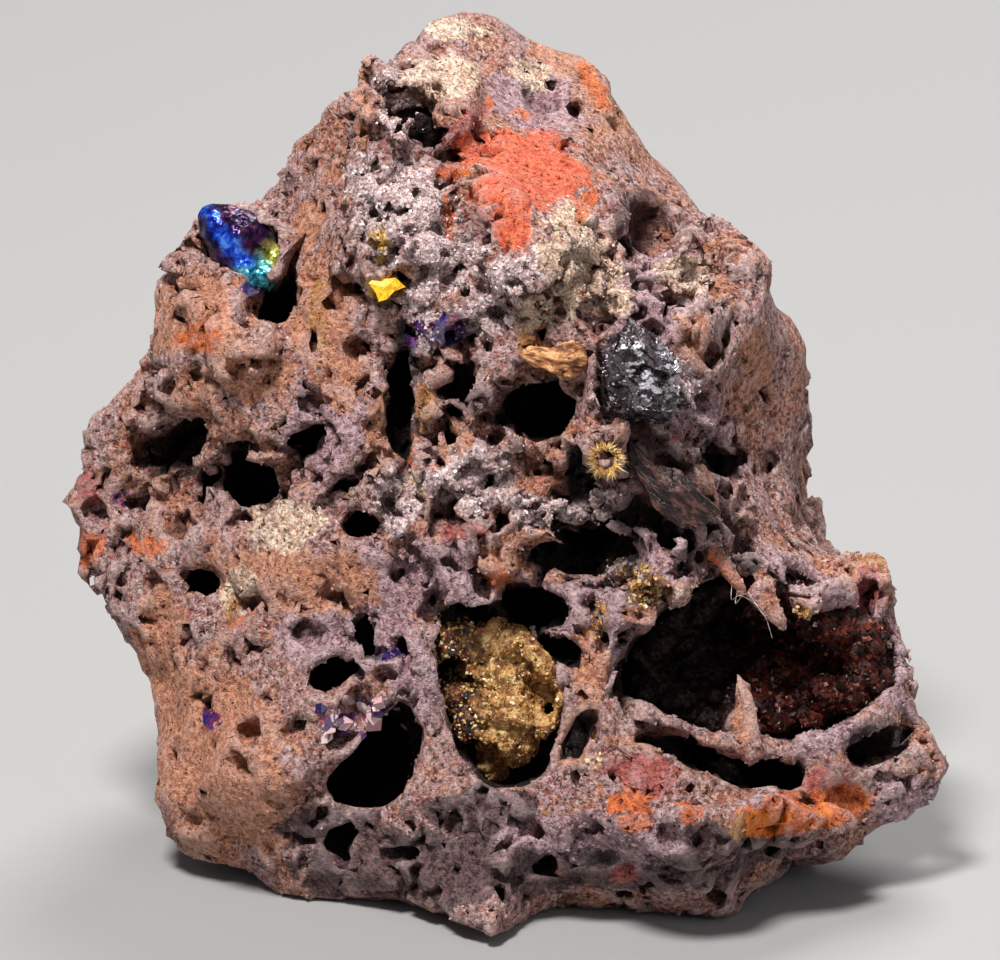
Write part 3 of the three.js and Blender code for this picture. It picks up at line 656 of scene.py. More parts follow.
# Where each colour of the rock lies on the face: x, y, half width, half height and turn of each oval.
COLOURS = {
    "red": [
        (1.6, 15.6, 2.9, 2.0, -12), (0.5, 13.0, 1.0, 1.9, 10), (-1.6, 16.4, 1.6, 0.8, 30),
        (-0.7, 14.3, 0.8, 0.9, 0),
    ],
    "frost": [
        (-5.0, 13.2, 2.7, 2.8, 0), (-6.7, 15.0, 1.2, 1.3, 0), (-2.4, 10.9, 2.2, 1.7, -20),
        (-4.8, 18.1, 1.2, 0.9, 0), (-1.4, 0.2, 2.3, 1.8, 0), (6.0, 3.9, 1.4, 0.8, 0),
        (-5.2, -1.2, 1.2, 1.7, 0), (-0.6, 8.4, 1.8, 1.2, 0), (8.4, 4.9, 1.3, 1.1, 0),
        (-5.6, 19.8, 0.6, 0.9, 0), (6.0, -4.2, 1.4, 0.6, 0), (4.9, -1.2, 1.0, 1.0, 0),
        (0.6, 10.2, 1.6, 1.2, 0), (2.2, -1.6, 2.0, 0.9, 0), (-4.2, 8.6, 0.7, 2.0, 15),
    ],
    "cream": [
        (3.8, 10.6, 2.2, 2.5, 10), (-3.0, 20.2, 2.0, 1.2, 10), (-10.8, -2.2, 2.1, 1.4, 15),
        (-13.2, -5.6, 1.1, 1.2, 0), (9.4, 10.2, 1.4, 1.2, 0), (-2.3, 22.8, 1.8, 0.6, 0),
        (-4.4, -0.3, 0.6, 0.8, 0), (3.4, 13.0, 1.4, 0.8, 30), (8.9, -5.6, 0.8, 0.3, 10),
        (1.6, 20.6, 1.2, 0.8, 0), (1.8, 8.4, 1.6, 1.0, 0), (5.6, 8.9, 1.3, 1.0, 0),
    ],
    "tan": [
        (-6.9, 19.3, 0.55, 2.7, 0), (-15.6, 8.2, 2.8, 2.0, 0), (-9.0, 8.4, 1.9, 2.4, 0),
        (-12.5, 5.4, 2.6, 1.3, 0), (-8.0, 5.4, 1.5, 2.2, 0), (-2.2, 0.4, 1.1, 2.5, 0),
        (-10.4, -5.0, 4.4, 1.5, -8), (-14.2, -14.6, 3.8, 5.4, 0), (-17.0, -8.4, 1.5, 3.6, 0),
        (11.0, 9.8, 0.9, 0.7, 0), (4.5, -9.5, 0.8, 2.2, 0), (3.6, -12.8, 0.9, 1.6, 0),
        (0.2, -4.2, 1.4, 1.0, 0), (3.0, 21.4, 1.8, 1.1, -20), (5.4, 19.0, 0.8, 2.0, 30),
        (18.6, -4.4, 1.2, 0.9, 0), (9.8, 7.0, 0.7, 1.6, 0), (12.9, 6.0, 0.8, 1.8, 10),
        (2.2, -2.8, 2.2, 0.7, 0), (12.3, -11.2, 0.7, 2.4, 0), (-5.8, 2.6, 0.9, 2.2, 0),
        (-9.6, 12.6, 0.8, 1.6, -20), (7.6, -13.0, 3.0, 0.5, 0), (13.9, -6.6, 1.0, 1.3, 0),
    ],
    "orange": [
        (-20.7, -3.5, 0.8, 0.9, 0), (-17.6, -3.3, 1.1, 0.6, -10), (6.5, -16.6, 1.1, 1.0, 0),
        (9.4, -16.6, 0.7, 0.6, 0), (13.8, -16.7, 2.6, 1.1, 6), (17.0, -16.2, 1.8, 1.0, 20),
        (-13.0, -7.2, 0.6, 0.5, 0), (-4.9, 3.0, 0.5, 2.4, 12), (4.4, 14.0, 0.4, 1.5, -25),
        (4.9, 19.8, 0.4, 1.7, 25), (-0.6, 19.0, 0.4, 0.3, 0), (1.2, 18.4, 0.6, 0.25, 0),
        (11.4, -4.6, 0.4, 1.6, 40), (-0.2, -4.9, 0.7, 0.6, 40), (-2.4, 15.4, 0.8, 0.4, 0),
        (-2.6, 13.2, 0.35, 1.2, 0), (-15.0, 7.2, 1.2, 0.8, 0),
    ],
    "pinkred": [
        (7.2, -14.7, 2.1, 1.1, -8), (6.2, -19.6, 0.9, 0.5, 0), (-20.8, -0.4, 0.7, 1.0, 0),
        (-1.8, 17.7, 1.9, 0.5, 38), (16.0, -14.8, 1.6, 0.5, 10), (-1.6, -2.6, 1.2, 0.5, 0),
        (18.6, -5.6, 0.9, 1.2, 0),
    ],
    "ochre": [
        (2.8, 5.9, 1.4, 0.7, -12), (-9.0, 8.6, 0.5, 2.2, 0), (-13.4, -6.6, 0.6, 0.6, 0),
        (18.8, -4.0, 0.8, 0.35, 0), (1.4, 6.8, 0.8, 0.5, 0), (-3.8, 3.6, 0.5, 1.6, 0),
        (12.0, -17.3, 1.0, 0.5, 0),
    ],
    "yellow": [
        (-5.75, 9.6, 0.95, 0.6, -8), (-6.1, 12.0, 0.4, 0.45, 0), (-5.9, 10.9, 0.25, 0.3, 0),
        (15.1, -6.5, 0.35, 0.22, 10),
    ],
    "amber": [
        (13.4, -17.1, 1.2, 0.75, 6), (16.4, -16.4, 0.7, 0.4, 10),
    ],
    # Painted shade: near black where recesses lie in shadow.
    "painted_shade": [
        (18.9, -13.2, 2.0, 0.8, 12), (12.7, -4.0, 0.5, 0.7, 0), (4.9, -18.9, 1.5, 0.6, 0),
        (-4.6, 6.2, 0.6, 1.8, 10),
    ],
    "tarnish": [
        (-4.1, 7.2, 1.0, 0.7, 20), (-2.5, 7.5, 0.7, 1.0, 0), (-8.3, -12.2, 0.9, 0.6, 0),
        (-19.2, -1.0, 0.5, 0.35, 0), (-14.5, -12.0, 0.5, 0.5, 0), (-5.8, -8.7, 0.9, 0.35, 0),
        (-12.2, 9.6, 0.7, 0.5, 0), (-6.0, -11.6, 0.9, 0.5, 0),
    ],
    # Painted shade: the lower edge of the rock, which lies in shade, is painted darker.
    "painted_lower_shade": [
        (-3.0, -19.4, 8.0, 1.9, 0), (8.0, -18.9, 7.0, 1.7, 5), (-1.0, -16.6, 3.0, 1.4, 0),
        (-8.5, -17.4, 3.0, 1.2, 0),
    ],
    "maroon": [
        (8.3, 0.6, 3.4, 1.1, -46), (10.8, -1.8, 1.6, 1.0, -20), (6.4, -2.2, 1.4, 1.0, -30),
        (10.4, -4.2, 2.2, 0.8, -15), (4.4, -3.9, 3.2, 0.7, -5), (7.2, 13.0, 1.6, 1.6, 0),
        (6.4, 6.4, 1.0, 1.2, 0), (12.4, -4.2, 1.0, 0.8, -20), (-0.6, 4.0, 2.0, 1.0, 0),
        (7.4, -5.7, 0.9, 0.7, 0),
    ],
    "lilac": [
        (-2.6, -5.0, 4.6, 2.2, -10), (-4.6, -9.4, 1.4, 3.4, 10), (2.6, -6.6, 2.2, 1.6, 0),
        (5.2, -7.4, 1.0, 3.0, 0), (8.0, -3.6, 3.4, 1.2, -10), (10.4, 2.4, 3.0, 1.2, -45),
        (19.6, -9.0, 1.2, 3.4, 20), (15.6, -5.2, 3.2, 0.9, -28), (20.4, -16.0, 1.8, 1.4, 0),
        (-8.6, 2.8, 2.2, 2.6, 0), (7.2, 9.0, 2.6, 2.6, 0), (1.8, 19.0, 2.6, 1.6, -30),
        (-8.0, -7.8, 3.0, 2.2, 0), (5.2, -17.8, 4.8, 1.6, 0), (16.8, -12.9, 3.0, 0.8, 10),
    ],
}


# The colours behind the face: the noise at which each sets in and is full, its size in mm and its seed.
BEHIND = [
    ("tan", 0.0, 0.5, 7, 70),
    ("lilac", 0.1, 0.5, 6, 74),
    ("orange", 0.45, 0.75, 6, 78),
    ("cream", 0.5, 0.8, 5, 82),
    ("pinkred", 0.5, 0.8, 5, 86),
]


def relief_of(soft, points):
    """How far each point stands out of the surface without its fine forms: 0.5 where it lies in it."""
    return np.clip(0.5 + 1.6 * soft.sample(points), 0, 1)


def colour_rock(rock, soft, piece):
    """Gives the rock's mesh the attributes that its material is painted by."""
    points = mesh_points(piece)
    local = to_face(points)
    facing = mesh_normals(piece) @ FACE_AXES[2]
    front = smoothstep(-0.45, 0.05, facing) * smoothstep(-14, -11, local[:, 2])
    weights = {}
    for number, (name, ovals) in enumerate(COLOURS.items()):
        weights[name] = patches(local, ovals, 60 + 4 * number) * front
    for name, low, high, size, seed in BEHIND:
        weights[name] += (1 - front) * smoothstep(low, high, fractal(points, size, 3, seed))
    # The pit depth also drives the painted shade deep in the hollows.
    weights["pit"] = smoothstep(1.2, 4.0, closed_depth(rock, points))
    weights["relief"] = relief_of(soft, points)
    for name, values in weights.items():
        set_attribute(piece, name, np.clip(values, 0, 1))
    return weights


# Materials

# Where a mix node has its sockets for colour.
MIX_SHARE, MIX_FIRST, MIX_SECOND, MIX_RESULT = 0, 6, 7, 2


def linear(colour):
    """A colour as it looks on a screen, 0 to 255, turned into the renderer's light values."""
    values = [part / 255 for part in colour]
    return tuple(v / 12.92 if v <= 0.04045 else ((v + 0.055) / 1.055) ** 2.4 for v in values) + (1.0,)


class Paint:
    """A node material. Sizes are in mm, and its places come from the piece's own coordinates."""

    def __init__(self, name):
        self.material = bpy.data.materials.new(name)
        self.material.use_nodes = True
        self.tree = self.material.node_tree
        self.shader = self.tree.nodes["Principled BSDF"]
        place = self.tree.nodes.new("ShaderNodeTexCoord").outputs["Object"]
        self.place = self.vector("SCALE", place, scale=1 / MM)

    def feed(self, socket, value):
        if isinstance(value, bpy.types.NodeSocket):
            self.tree.links.new(value, socket)
        else:
            socket.default_value = value

    def vector(self, operation, first, second=None, scale=None):
        node = self.tree.nodes.new("ShaderNodeVectorMath")
        node.operation = operation
        self.feed(node.inputs[0], first)
        if second is not None:
            self.feed(node.inputs[1], second)
        if scale is not None:
            self.feed(node.inputs["Scale"], scale)
        return node.outputs["Vector"]

    def math(self, operation, first, second=0.0, clamp=False):
        node = self.tree.nodes.new("ShaderNodeMath")
        node.operation = operation
        node.use_clamp = clamp
        self.feed(node.inputs[0], first)
        self.feed(node.inputs[1], second)
        return node.outputs["Value"]

    def noise(self, size, detail=2.0, rough=0.5, shift=0.0):
        node = self.tree.nodes.new("ShaderNodeTexNoise")
        self.feed(node.inputs["Vector"], self.vector("ADD", self.place, (shift, 2 * shift, -shift)))
        node.inputs["Scale"].default_value = 1 / size
        node.inputs["Detail"].default_value = detail
        node.inputs["Roughness"].default_value = rough
        return node.outputs["Fac"]

    def attribute(self, name):
        node = self.tree.nodes.new("ShaderNodeAttribute")
        node.attribute_type = "GEOMETRY"
        node.attribute_name = name
        return node.outputs["Fac"]

    def step(self, value, low, high, start=0.0, end=1.0):
        node = self.tree.nodes.new("ShaderNodeMapRange")
        node.interpolation_type = "SMOOTHSTEP"
        self.feed(node.inputs["Value"], value)
        node.inputs["From Min"].default_value = low
        node.inputs["From Max"].default_value = high
        node.inputs["To Min"].default_value = start
        node.inputs["To Max"].default_value = end
        return node.outputs["Result"]

    def mix(self, share, first, second, blend="MIX"):
        node = self.tree.nodes.new("ShaderNodeMix")
        node.data_type = "RGBA"
        node.blend_type = blend
        self.feed(node.inputs[MIX_SHARE], share)
        for socket, colour in ((MIX_FIRST, first), (MIX_SECOND, second)):
            self.feed(node.inputs[socket], linear(colour) if isinstance(colour, tuple) else colour)
        return node.outputs[MIX_RESULT]

    def ramp(self, value, stops):
        node = self.tree.nodes.new("ShaderNodeValToRGB")
        bar = node.color_ramp
        while len(bar.elements) < len(stops):
            bar.elements.new(0.5)
        for element, (position, colour) in zip(bar.elements, stops):
            element.position = position
            element.color = linear(colour)
        self.feed(node.inputs["Fac"], value)
        return node.outputs["Color"]

    def swing(self, noise, amount):
        """A noise made to swing about 0."""
        return self.math("MULTIPLY", self.math("SUBTRACT", noise, 0.5), amount)

    def over(self, below, colour, weight, edge):
        """Lays a colour over another where a weight, broken up by noise, is high."""
        ragged = self.math("ADD", weight, self.swing(edge, 2.4))
        return self.mix(self.step(ragged, 0.38, 0.66, 0, 0.92), below, colour)

    def bump(self, height, distance):
        node = self.tree.nodes.new("ShaderNodeBump")
        self.feed(node.inputs["Height"], height)
        node.inputs["Distance"].default_value = distance * MM
        return node.outputs["Normal"]

    def facets(self, size, tilt, normal):
        """Tips the surface a different way in each small cell, as the faces of crystals are tipped."""
        node = self.tree.nodes.new("ShaderNodeTexVoronoi")
        self.feed(node.inputs["Vector"], self.place)
        node.inputs["Scale"].default_value = 1 / size
        lean = self.vector("SUBTRACT", node.outputs["Color"], (0.5, 0.5, 0.5))
        lean = self.vector("SCALE", lean, scale=tilt)
        return self.vector("NORMALIZE", self.vector("ADD", lean, normal))

    def finish(self, colour, roughness, normal=None, metallic=0.0):
        self.feed(self.shader.inputs["Base Color"], colour)
        self.feed(self.shader.inputs["Roughness"], roughness)
        self.feed(self.shader.inputs["Metallic"], metallic)
        if normal is not None:
            self.feed(self.shader.inputs["Normal"], normal)
        return self.material


def rock_ground(paint, fine):
    """The rock's own colours, cool or warm from place to place, with flecks."""
    broad = paint.noise(3.4, 4, 0.6, shift=17)
    cool = paint.ramp(fine, [
        (0.37, (48, 26, 24)), (0.45, (144, 98, 90)), (0.54, (184, 146, 144)), (0.67, (216, 190, 190)),
    ])
    warm = paint.ramp(fine, [
        (0.37, (54, 26, 18)), (0.45, (154, 96, 74)), (0.55, (200, 138, 112)), (0.67, (222, 172, 146)),
    ])
    colour = paint.mix(paint.step(broad, 0.44, 0.60), cool, warm)
    flecks = [
        (0.26, 27, 0.60, (224, 206, 202)), (0.34, 33, 0.59, (176, 74, 58)),
        (0.50, 39, 0.63, (198, 126, 66)),
    ]
    for size, shift, level, tone in flecks:
        share = paint.step(paint.noise(size, 3, 0.6, shift=shift), level, level + 0.05, 0, 0.75)
        colour = paint.mix(share, colour, tone)
    return colour


# The colours that are painted over the rock's own where its attributes say so, each light and dark.
LAYERS = [
    # Painted shade along the rock's lower edge.
    ("painted_lower_shade", (110, 80, 82), (46, 28, 32)),
    ("lilac", (206, 172, 180), (134, 92, 96)),
    ("tan", (226, 160, 126), (166, 104, 78)),
    ("maroon", (104, 62, 58), (50, 20, 18)),
    ("cream", (255, 232, 206), (194, 150, 122)),
    ("frost", (250, 230, 230), (158, 120, 118)),
    ("pinkred", (206, 104, 92), (138, 70, 68)),
    ("orange", (240, 126, 48), (186, 80, 38)),
    ("ochre", (206, 146, 78), (150, 92, 48)),
    ("red", (240, 118, 72), (206, 74, 42)),
    ("yellow", (254, 208, 46), (236, 176, 30)),
    ("amber", (255, 156, 36), (250, 112, 18)),
    # Painted shade: near black in shadowed recesses.
    ("painted_shade", (34, 16, 14), (10, 5, 5)),
]


def rock_material():
    paint = Paint("rock")
    grain = paint.noise(0.10, 3, 0.7, shift=4)
    fine = paint.noise(0.30, 4, 0.7, shift=2)
    middle = paint.noise(0.9, 5, 0.7, shift=9)
    relief = paint.attribute("relief")
    pit = paint.attribute("pit")

    colour = rock_ground(paint, fine)
    for name, light, dark in LAYERS:
        shade = paint.mix(paint.step(fine, 0.38, 0.62), dark, light)
        colour = paint.over(colour, shade, paint.attribute(name), middle)
    rainbow = paint.ramp(paint.noise(0.8, 2, 0.5, shift=31), [
        (0.3, (10, 4, 16)), (0.45, (38, 16, 120)), (0.55, (90, 20, 110)), (0.65, (140, 24, 60)),
    ])
    tarnish = paint.math("MULTIPLY", paint.attribute("tarnish"), paint.step(middle, 0.36, 0.50))
    tarnish = paint.step(tarnish, 0.25, 0.6)
    colour = paint.mix(tarnish, colour, rainbow)

    # Painted shade: near-black dots inside the tiny pores, which the bump below also sinks.
    pores = paint.step(paint.noise(0.22, 2, 0.5, shift=45), 0.37, 0.30)
    colour = paint.mix(paint.math("MULTIPLY", pores, 0.9), colour, (24, 11, 11))
    specks = paint.step(grain, 0.43, 0.33, 0, 0.65)
    colour = paint.mix(specks, colour, (44, 26, 26))
    # Painted shade: dark red-brown where the surface lies below its smoothed form, in creases and crevices.
    colour = paint.mix(paint.step(relief, 0.49, 0.23), colour, (48, 18, 15))
    # Painted highlight: paler where the surface stands out, on ridges and rims.
    colour = paint.mix(paint.step(relief, 0.58, 0.85, 0, 0.35), colour, (228, 202, 200))
    # Painted shade: near black deep in the hollows, by the pit depth.
    depth = paint.math("ADD", pit, paint.swing(middle, 0.4))
    dark = paint.ramp(middle, [(0.4, (8, 4, 4)), (0.6, (42, 13, 8)), (0.75, (84, 34, 20))])
    colour = paint.mix(paint.step(depth, 0.06, 0.5), colour, dark)

    height = paint.math("ADD", fine, paint.math("MULTIPLY", grain, 0.4))
    height = paint.math("SUBTRACT", height, paint.math("MULTIPLY", pores, 0.4))
    normal = paint.bump(height, 0.36)
    sparkle = paint.math("ADD", paint.attribute("cream"), pit)
    sparkle = paint.math("ADD", paint.attribute("frost"), sparkle, clamp=True)
    normal = paint.facets(0.14, paint.step(sparkle, 0.2, 0.8, 0.30, 0.85), normal)
    roughness = paint.step(grain, 0.35, 0.65, 0.85, 0.5)
    roughness = paint.math("SUBTRACT", roughness, paint.math("MULTIPLY", sparkle, 0.2))
    roughness = paint.math("SUBTRACT", roughness, paint.math("MULTIPLY", tarnish, 0.3), clamp=True)
    return paint.finish(colour, roughness, normal)


def gold_material():
    paint = Paint("natrojarosite")
    fine = paint.noise(0.16, 3, 0.6)
    middle = paint.noise(0.6, 4, 0.65, shift=5)
    colour = paint.ramp(middle, [
        (0.32, (70, 34, 20)), (0.44, (146, 96, 54)), (0.55, (196, 152, 92)), (0.70, (236, 206, 150)),
    ])
    orange = paint.step(paint.noise(1.5, 3, 0.6, shift=23), 0.58, 0.66, 0, 0.8)
    colour = paint.mix(orange, colour, (222, 132, 50))
    brown = paint.ramp(middle, [
        (0.38, (14, 5, 4)), (0.52, (64, 24, 15)), (0.62, (120, 66, 42)), (0.70, (196, 146, 90)),
    ])
    colour = paint.mix(paint.attribute("bright"), brown, colour)
    # Painted shade: dark brown where the crust lies below its smoothed form, in its hollows.
    colour = paint.mix(paint.step(paint.attribute("relief"), 0.52, 0.28), colour, (34, 10, 6))
    normal = paint.bump(fine, 0.14)
    normal = paint.facets(0.12, 0.6, normal)
    return paint.finish(colour, paint.step(fine, 0.35, 0.65, 0.65, 0.35), normal)


def gold_crystal_material():
    paint = Paint("natrojarosite_crystals")
    tone = paint.attribute("tone")
    colour = paint.ramp(tone, [
        (0.0, (116, 66, 30)), (0.35, (186, 134, 66)), (0.7, (224, 184, 110)), (1.0, (250, 234, 186)),
    ])
    colour = paint.mix(paint.step(paint.noise(0.3, 2), 0.35, 0.65, 0, 0.35), colour, (110, 56, 20))
    return paint.finish(colour, paint.step(tone, 0, 1, 0.45, 0.22))


def plate_material():
    paint = Paint("yellow_plate")
    fine = paint.noise(0.2, 3, 0.6)
    colour = paint.mix(paint.step(fine, 0.36, 0.60), (226, 158, 20), (255, 212, 44))
    return paint.finish(colour, 0.35, paint.bump(fine, 0.05))


def grained_material(name, tones, roughness):
    """Rock with a grain, in four tones from dark to pale."""
    paint = Paint(name)
    middle = paint.noise(0.4, 4, 0.7, shift=6)
    grain = paint.math("ADD", paint.attribute("grain"), paint.swing(middle, 0.8))
    colour = paint.ramp(grain, list(zip((0.30, 0.45, 0.58, 0.72), tones)))
    # Painted shade: the darkest tone inside the tiny pores.
    pores = paint.step(paint.noise(0.24, 2, 0.5, shift=45), 0.38, 0.31)
    colour = paint.mix(paint.math("MULTIPLY", pores, 0.8), colour, tones[0])
    return paint.finish(colour, roughness, paint.bump(middle, 0.12))


def ochre_material():
    tones = [(104, 58, 36), (160, 102, 60), (192, 132, 82), (216, 164, 114)]
    return grained_material("ochre_block", tones, 0.7)


def brown_material():
    tones = [(22, 9, 8), (40, 18, 15), (56, 30, 25), (92, 60, 52)]
    return grained_material("brown_slab", tones, 0.4)


def violet_material():
    paint = Paint("violet_crystals")
    colour = paint.ramp(paint.attribute("tone"), [
        (0.0, (26, 20, 74)), (0.2, (92, 54, 104)), (0.45, (190, 146, 152)), (1.0, (244, 224, 222)),
    ])
    return paint.finish(colour, 0.2)


def druse_material():
    paint = Paint("vug_lining")
    fine = paint.noise(0.2, 3, 0.6)
    middle = paint.noise(1.1, 4, 0.65, shift=8)
    colour = paint.ramp(middle, [
        (0.36, (6, 2, 2)), (0.48, (40, 10, 6)), (0.58, (78, 24, 13)), (0.70, (128, 54, 32)),
    ])
    # Painted shade: the left of the vug, which the light from the upper left does not reach, is painted near
    # black.
    colour = paint.mix(paint.attribute("right"), (24, 6, 5), colour)
    normal = paint.bump(fine, 0.12)
    normal = paint.facets(0.18, 0.6, normal)
    paint.shader.inputs["Specular IOR Level"].default_value = 0.25
    return paint.finish(colour, paint.step(fine, 0.35, 0.65, 0.6, 0.35), normal)


def druse_crystal_material():
    paint = Paint("vug_crystals")
    tone = paint.attribute("tone")
    colour = paint.ramp(tone, [
        (0.0, (10, 3, 2)), (0.6, (48, 13, 8)), (0.95, (86, 30, 17)), (1.0, (150, 92, 78)),
    ])
    # Painted shade: the crystals on the vug's shaded left are painted near black.
    colour = paint.mix(paint.attribute("right"), (22, 6, 5), colour)
    paint.shader.inputs["Specular IOR Level"].default_value = 0.3
    return paint.finish(colour, 0.35)


def tarnish_material():
    paint = Paint("tarnished_goethite")
    fine = paint.noise(0.25, 2)
    middle = paint.noise(0.5, 3, 0.6)
    colour = paint.ramp(middle, [(0.38, (8, 4, 14)), (0.52, (38, 12, 70)), (0.66, (70, 16, 44))])
    blue = paint.ramp(middle, [(0.36, (20, 24, 110)), (0.50, (28, 78, 226)), (0.62, (90, 150, 250))])
    cyan = paint.ramp(middle, [(0.38, (16, 70, 96)), (0.50, (70, 190, 216)), (0.64, (160, 226, 196))])
    green = paint.ramp(middle, [(0.38, (70, 66, 20)), (0.50, (160, 168, 64)), (0.64, (226, 220, 120))])
    for name, tint in (("blue", blue), ("cyan", cyan), ("green", green)):
        colour = paint.mix(paint.attribute(name), colour, tint)
    normal = paint.facets(0.4, 0.22, paint.bump(fine, 0.05))
    return paint.finish(colour, paint.step(fine, 0.4, 0.6, 0.14, 0.30), normal, metallic=0.6)


def lustre_material():
    paint = Paint("hematite")
    fine = paint.noise(0.14, 3, 0.6)
    middle = paint.noise(0.7, 4, 0.65, shift=3)
    colour = paint.ramp(middle, [
        (0.35, (26, 20, 22)), (0.48, (62, 54, 58)), (0.58, (100, 92, 98)), (0.70, (78, 46, 46)),
    ])
    streak = paint.step(paint.attribute("streak"), 0.5, 0.66)
    streak = paint.math("MULTIPLY", streak, paint.step(fine, 0.38, 0.50))
    colour = paint.mix(streak, colour, (214, 208, 214))
    normal = paint.facets(0.5, 0.25, paint.bump(fine, 0.04))
    return paint.finish(colour, paint.step(fine, 0.35, 0.65, 0.34, 0.14), normal, metallic=0.6)


def frost_material():
    paint = Paint("frost")
    tone = paint.attribute("tone")
    colour = paint.ramp(tone, [
        (0.0, (150, 114, 108)), (0.5, (212, 186, 184)), (0.85, (238, 222, 222)), (1.0, (255, 250, 248)),
    ])
    cream = paint.step(paint.attribute("cream"), 0.3, 0.6)
    colour = paint.mix(cream, colour, (255, 230, 200), blend="MULTIPLY")
    return paint.finish(colour, 0.28)


def lint_material():
    paint = Paint("fibres")
    colour = paint.mix(paint.step(paint.noise(0.4), 0.4, 0.6), (230, 226, 220), (170, 150, 140))
    return paint.finish(colour, 0.5)


# Crusts and crystals in the hollows

def sculpt(name, voxel, work):
    """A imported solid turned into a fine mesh, after some work on its volume."""
    points, corners = node_polygons(name)
    volume = volume_of(points, corners, voxel, BAND, margin=10)
    work(volume)
    return volume, link(name + "_surface", *volume.polygons())


def surface_points(points, corners, count, seed, weights=None):
    """Random places on a mesh of triangles, each with its normal and the triangle it's on."""
    draw = np.random.default_rng(seed)
    first, second, third = (points[corners[:, k]] for k in range(3))
    normals = np.cross(second - first, third - first)
    areas = np.linalg.norm(normals, axis=1)
    chance = areas if weights is None else areas * weights[corners].mean(1)
    chosen = draw.choice(len(corners), count, p=chance / chance.sum())
    u, v = draw.random((2, count, 1))
    fold = u + v > 1
    u, v = np.where(fold, 1 - u, u), np.where(fold, 1 - v, v)
    places = first[chosen] + u * (second - first)[chosen] + v * (third - first)[chosen]
    return places, normals[chosen] / np.maximum(areas[chosen, None], 1e-12), chosen


def nodules(volume, name, count, radii, seed, sink):
    """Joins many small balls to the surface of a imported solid."""
    points, corners = node_polygons(name)
    places, normals, _ = surface_points(points, corners, count, seed)
    sizes = np.random.default_rng(seed + 1).uniform(*radii, count)
    for place, normal, size in zip(places, normals, sizes):
        volume.add_ball(place - normal * sink * size, size, 3 * volume.voxel)


def make_gold_crust():
    """The granular natrojarosite in the tall vug, bright except at its left edge."""
    def work(volume):
        volume.blur(3)
        nodules(volume, "natrojarosite_crust", 420, (0.22, 0.66), 5, sink=0.3)
        volume.values -= volume.waves((0.10, 1.2, 6), (0.10, 0.5, 7), (0.05, 0.25, 8))
        gap = np.array([2.7, -12.4, 1.5])
        cut, around = volume.window(from_face(gap), 3.2)
        volume.carve(cut, oval_distance(to_face(around), gap, np.array([0.9, 1.6, 2.8]), 12))
        pits = (volume.waves((1, 1.0, 9), (0.4, 0.4, 10)) - 0.55) * 0.5
        volume.values = np.maximum(volume.values, np.minimum(pits, 0.9 + volume.values))

    volume, piece = sculpt("natrojarosite_crust", 0.09, work)
    thin_out(piece, 90000)
    points = mesh_points(piece)
    local = to_face(points)
    set_attribute(piece, "relief", relief_of(volume.blurred(5), points))
    set_attribute(piece, "bright", smoothstep(-1.8, -0.4, local[:, 0] + 0.9 * fractal(local, 1.1, 3, 61)))
    smooth(piece)
    return piece


def make_druse():
    """The druse of the large vug, and how far each of its points lies towards the lit right-hand side, away
    from the painted shade of its left.
    """
    def work(volume):
        volume.blur(2)
        nodules(volume, "vug_lining", 500, (0.3, 0.8), 15, sink=0.5)
        volume.values -= volume.waves((0.25, 1.6, 16), (0.16, 0.7, 17), (0.06, 0.3, 18))

    _, piece = sculpt("vug_lining", 0.12, work)
    thin_out(piece, 70000)
    right = smoothstep(10.5, 14.5, to_face(mesh_points(piece))[:, 0])
    set_attribute(piece, "right", right)
    smooth(piece, False)
    return piece, right


def make_tarnished():
    """The blue and violet lump at the upper left, with finer grains at its lower end."""
    lumps = [
        (-14.2, 12.7, 0.3, 1.15), (-13.3, 12.0, 0.6, 1.4), (-12.4, 11.7, 0.4, 1.15),
        (-12.8, 10.7, 0.8, 0.9), (-11.9, 10.5, 0.9, 0.6), (-11.3, 11.2, 0.7, 0.6), (-12.9, 10.0, 1.0, 0.5),
    ]

    def work(volume):
        volume.blur(2)
        for x, y, out, radius in lumps:
            volume.add_ball(from_face(np.array([x, y, out])), radius, 0.6)
        volume.values -= volume.waves((0.20, 1.3, 41), (0.10, 0.6, 42), (0.03, 0.3, 43))

    _, piece = sculpt("tarnished_goethite", 0.09, work)
    local = to_face(mesh_points(piece))
    lower = smoothstep(-11.6, -10.4, -local[:, 1])
    push_out(piece, (0.02 + 0.12 * lower) * crumble(local, 0.5, 4))
    thin_out(piece, 24000)
    tarnish_bands(piece)
    smooth(piece)
    return piece


def tarnish_bands(piece):
    """A blue band down the lump, cyan at its lower end and yellow-green beside that."""
    local = to_face(mesh_points(piece))
    wander = 0.35 * fractal(local, 1.0, 3, 63)
    top = np.array([-14.1, 13.1])
    way = np.array([1.85, -2.6])
    length = np.linalg.norm(way)
    share = (local[:, :2] - top) @ way / length ** 2 + 0.3 * wander
    aside = (local[:, :2] - top) @ np.array([-way[1], way[0]]) / length + wander
    set_attribute(piece, "blue", smoothstep(0.62, 0.15, np.abs(aside + 0.3)))
    set_attribute(piece, "cyan", smoothstep(0.72, 0.95, share) * smoothstep(1.4, 0.8, np.abs(aside)))
    set_attribute(piece, "green", smoothstep(0.6, 1.0, share) * smoothstep(0.5, 1.0, aside))


# Where the dark crystal has most of its pale streaks.
PALE_SPOTS = [(8.0, 4.8, 1.5, 0.6, -12), (8.6, 5.8, 0.4, 1.3, 25), (6.7, 6.0, 0.35, 1.2, -20)]


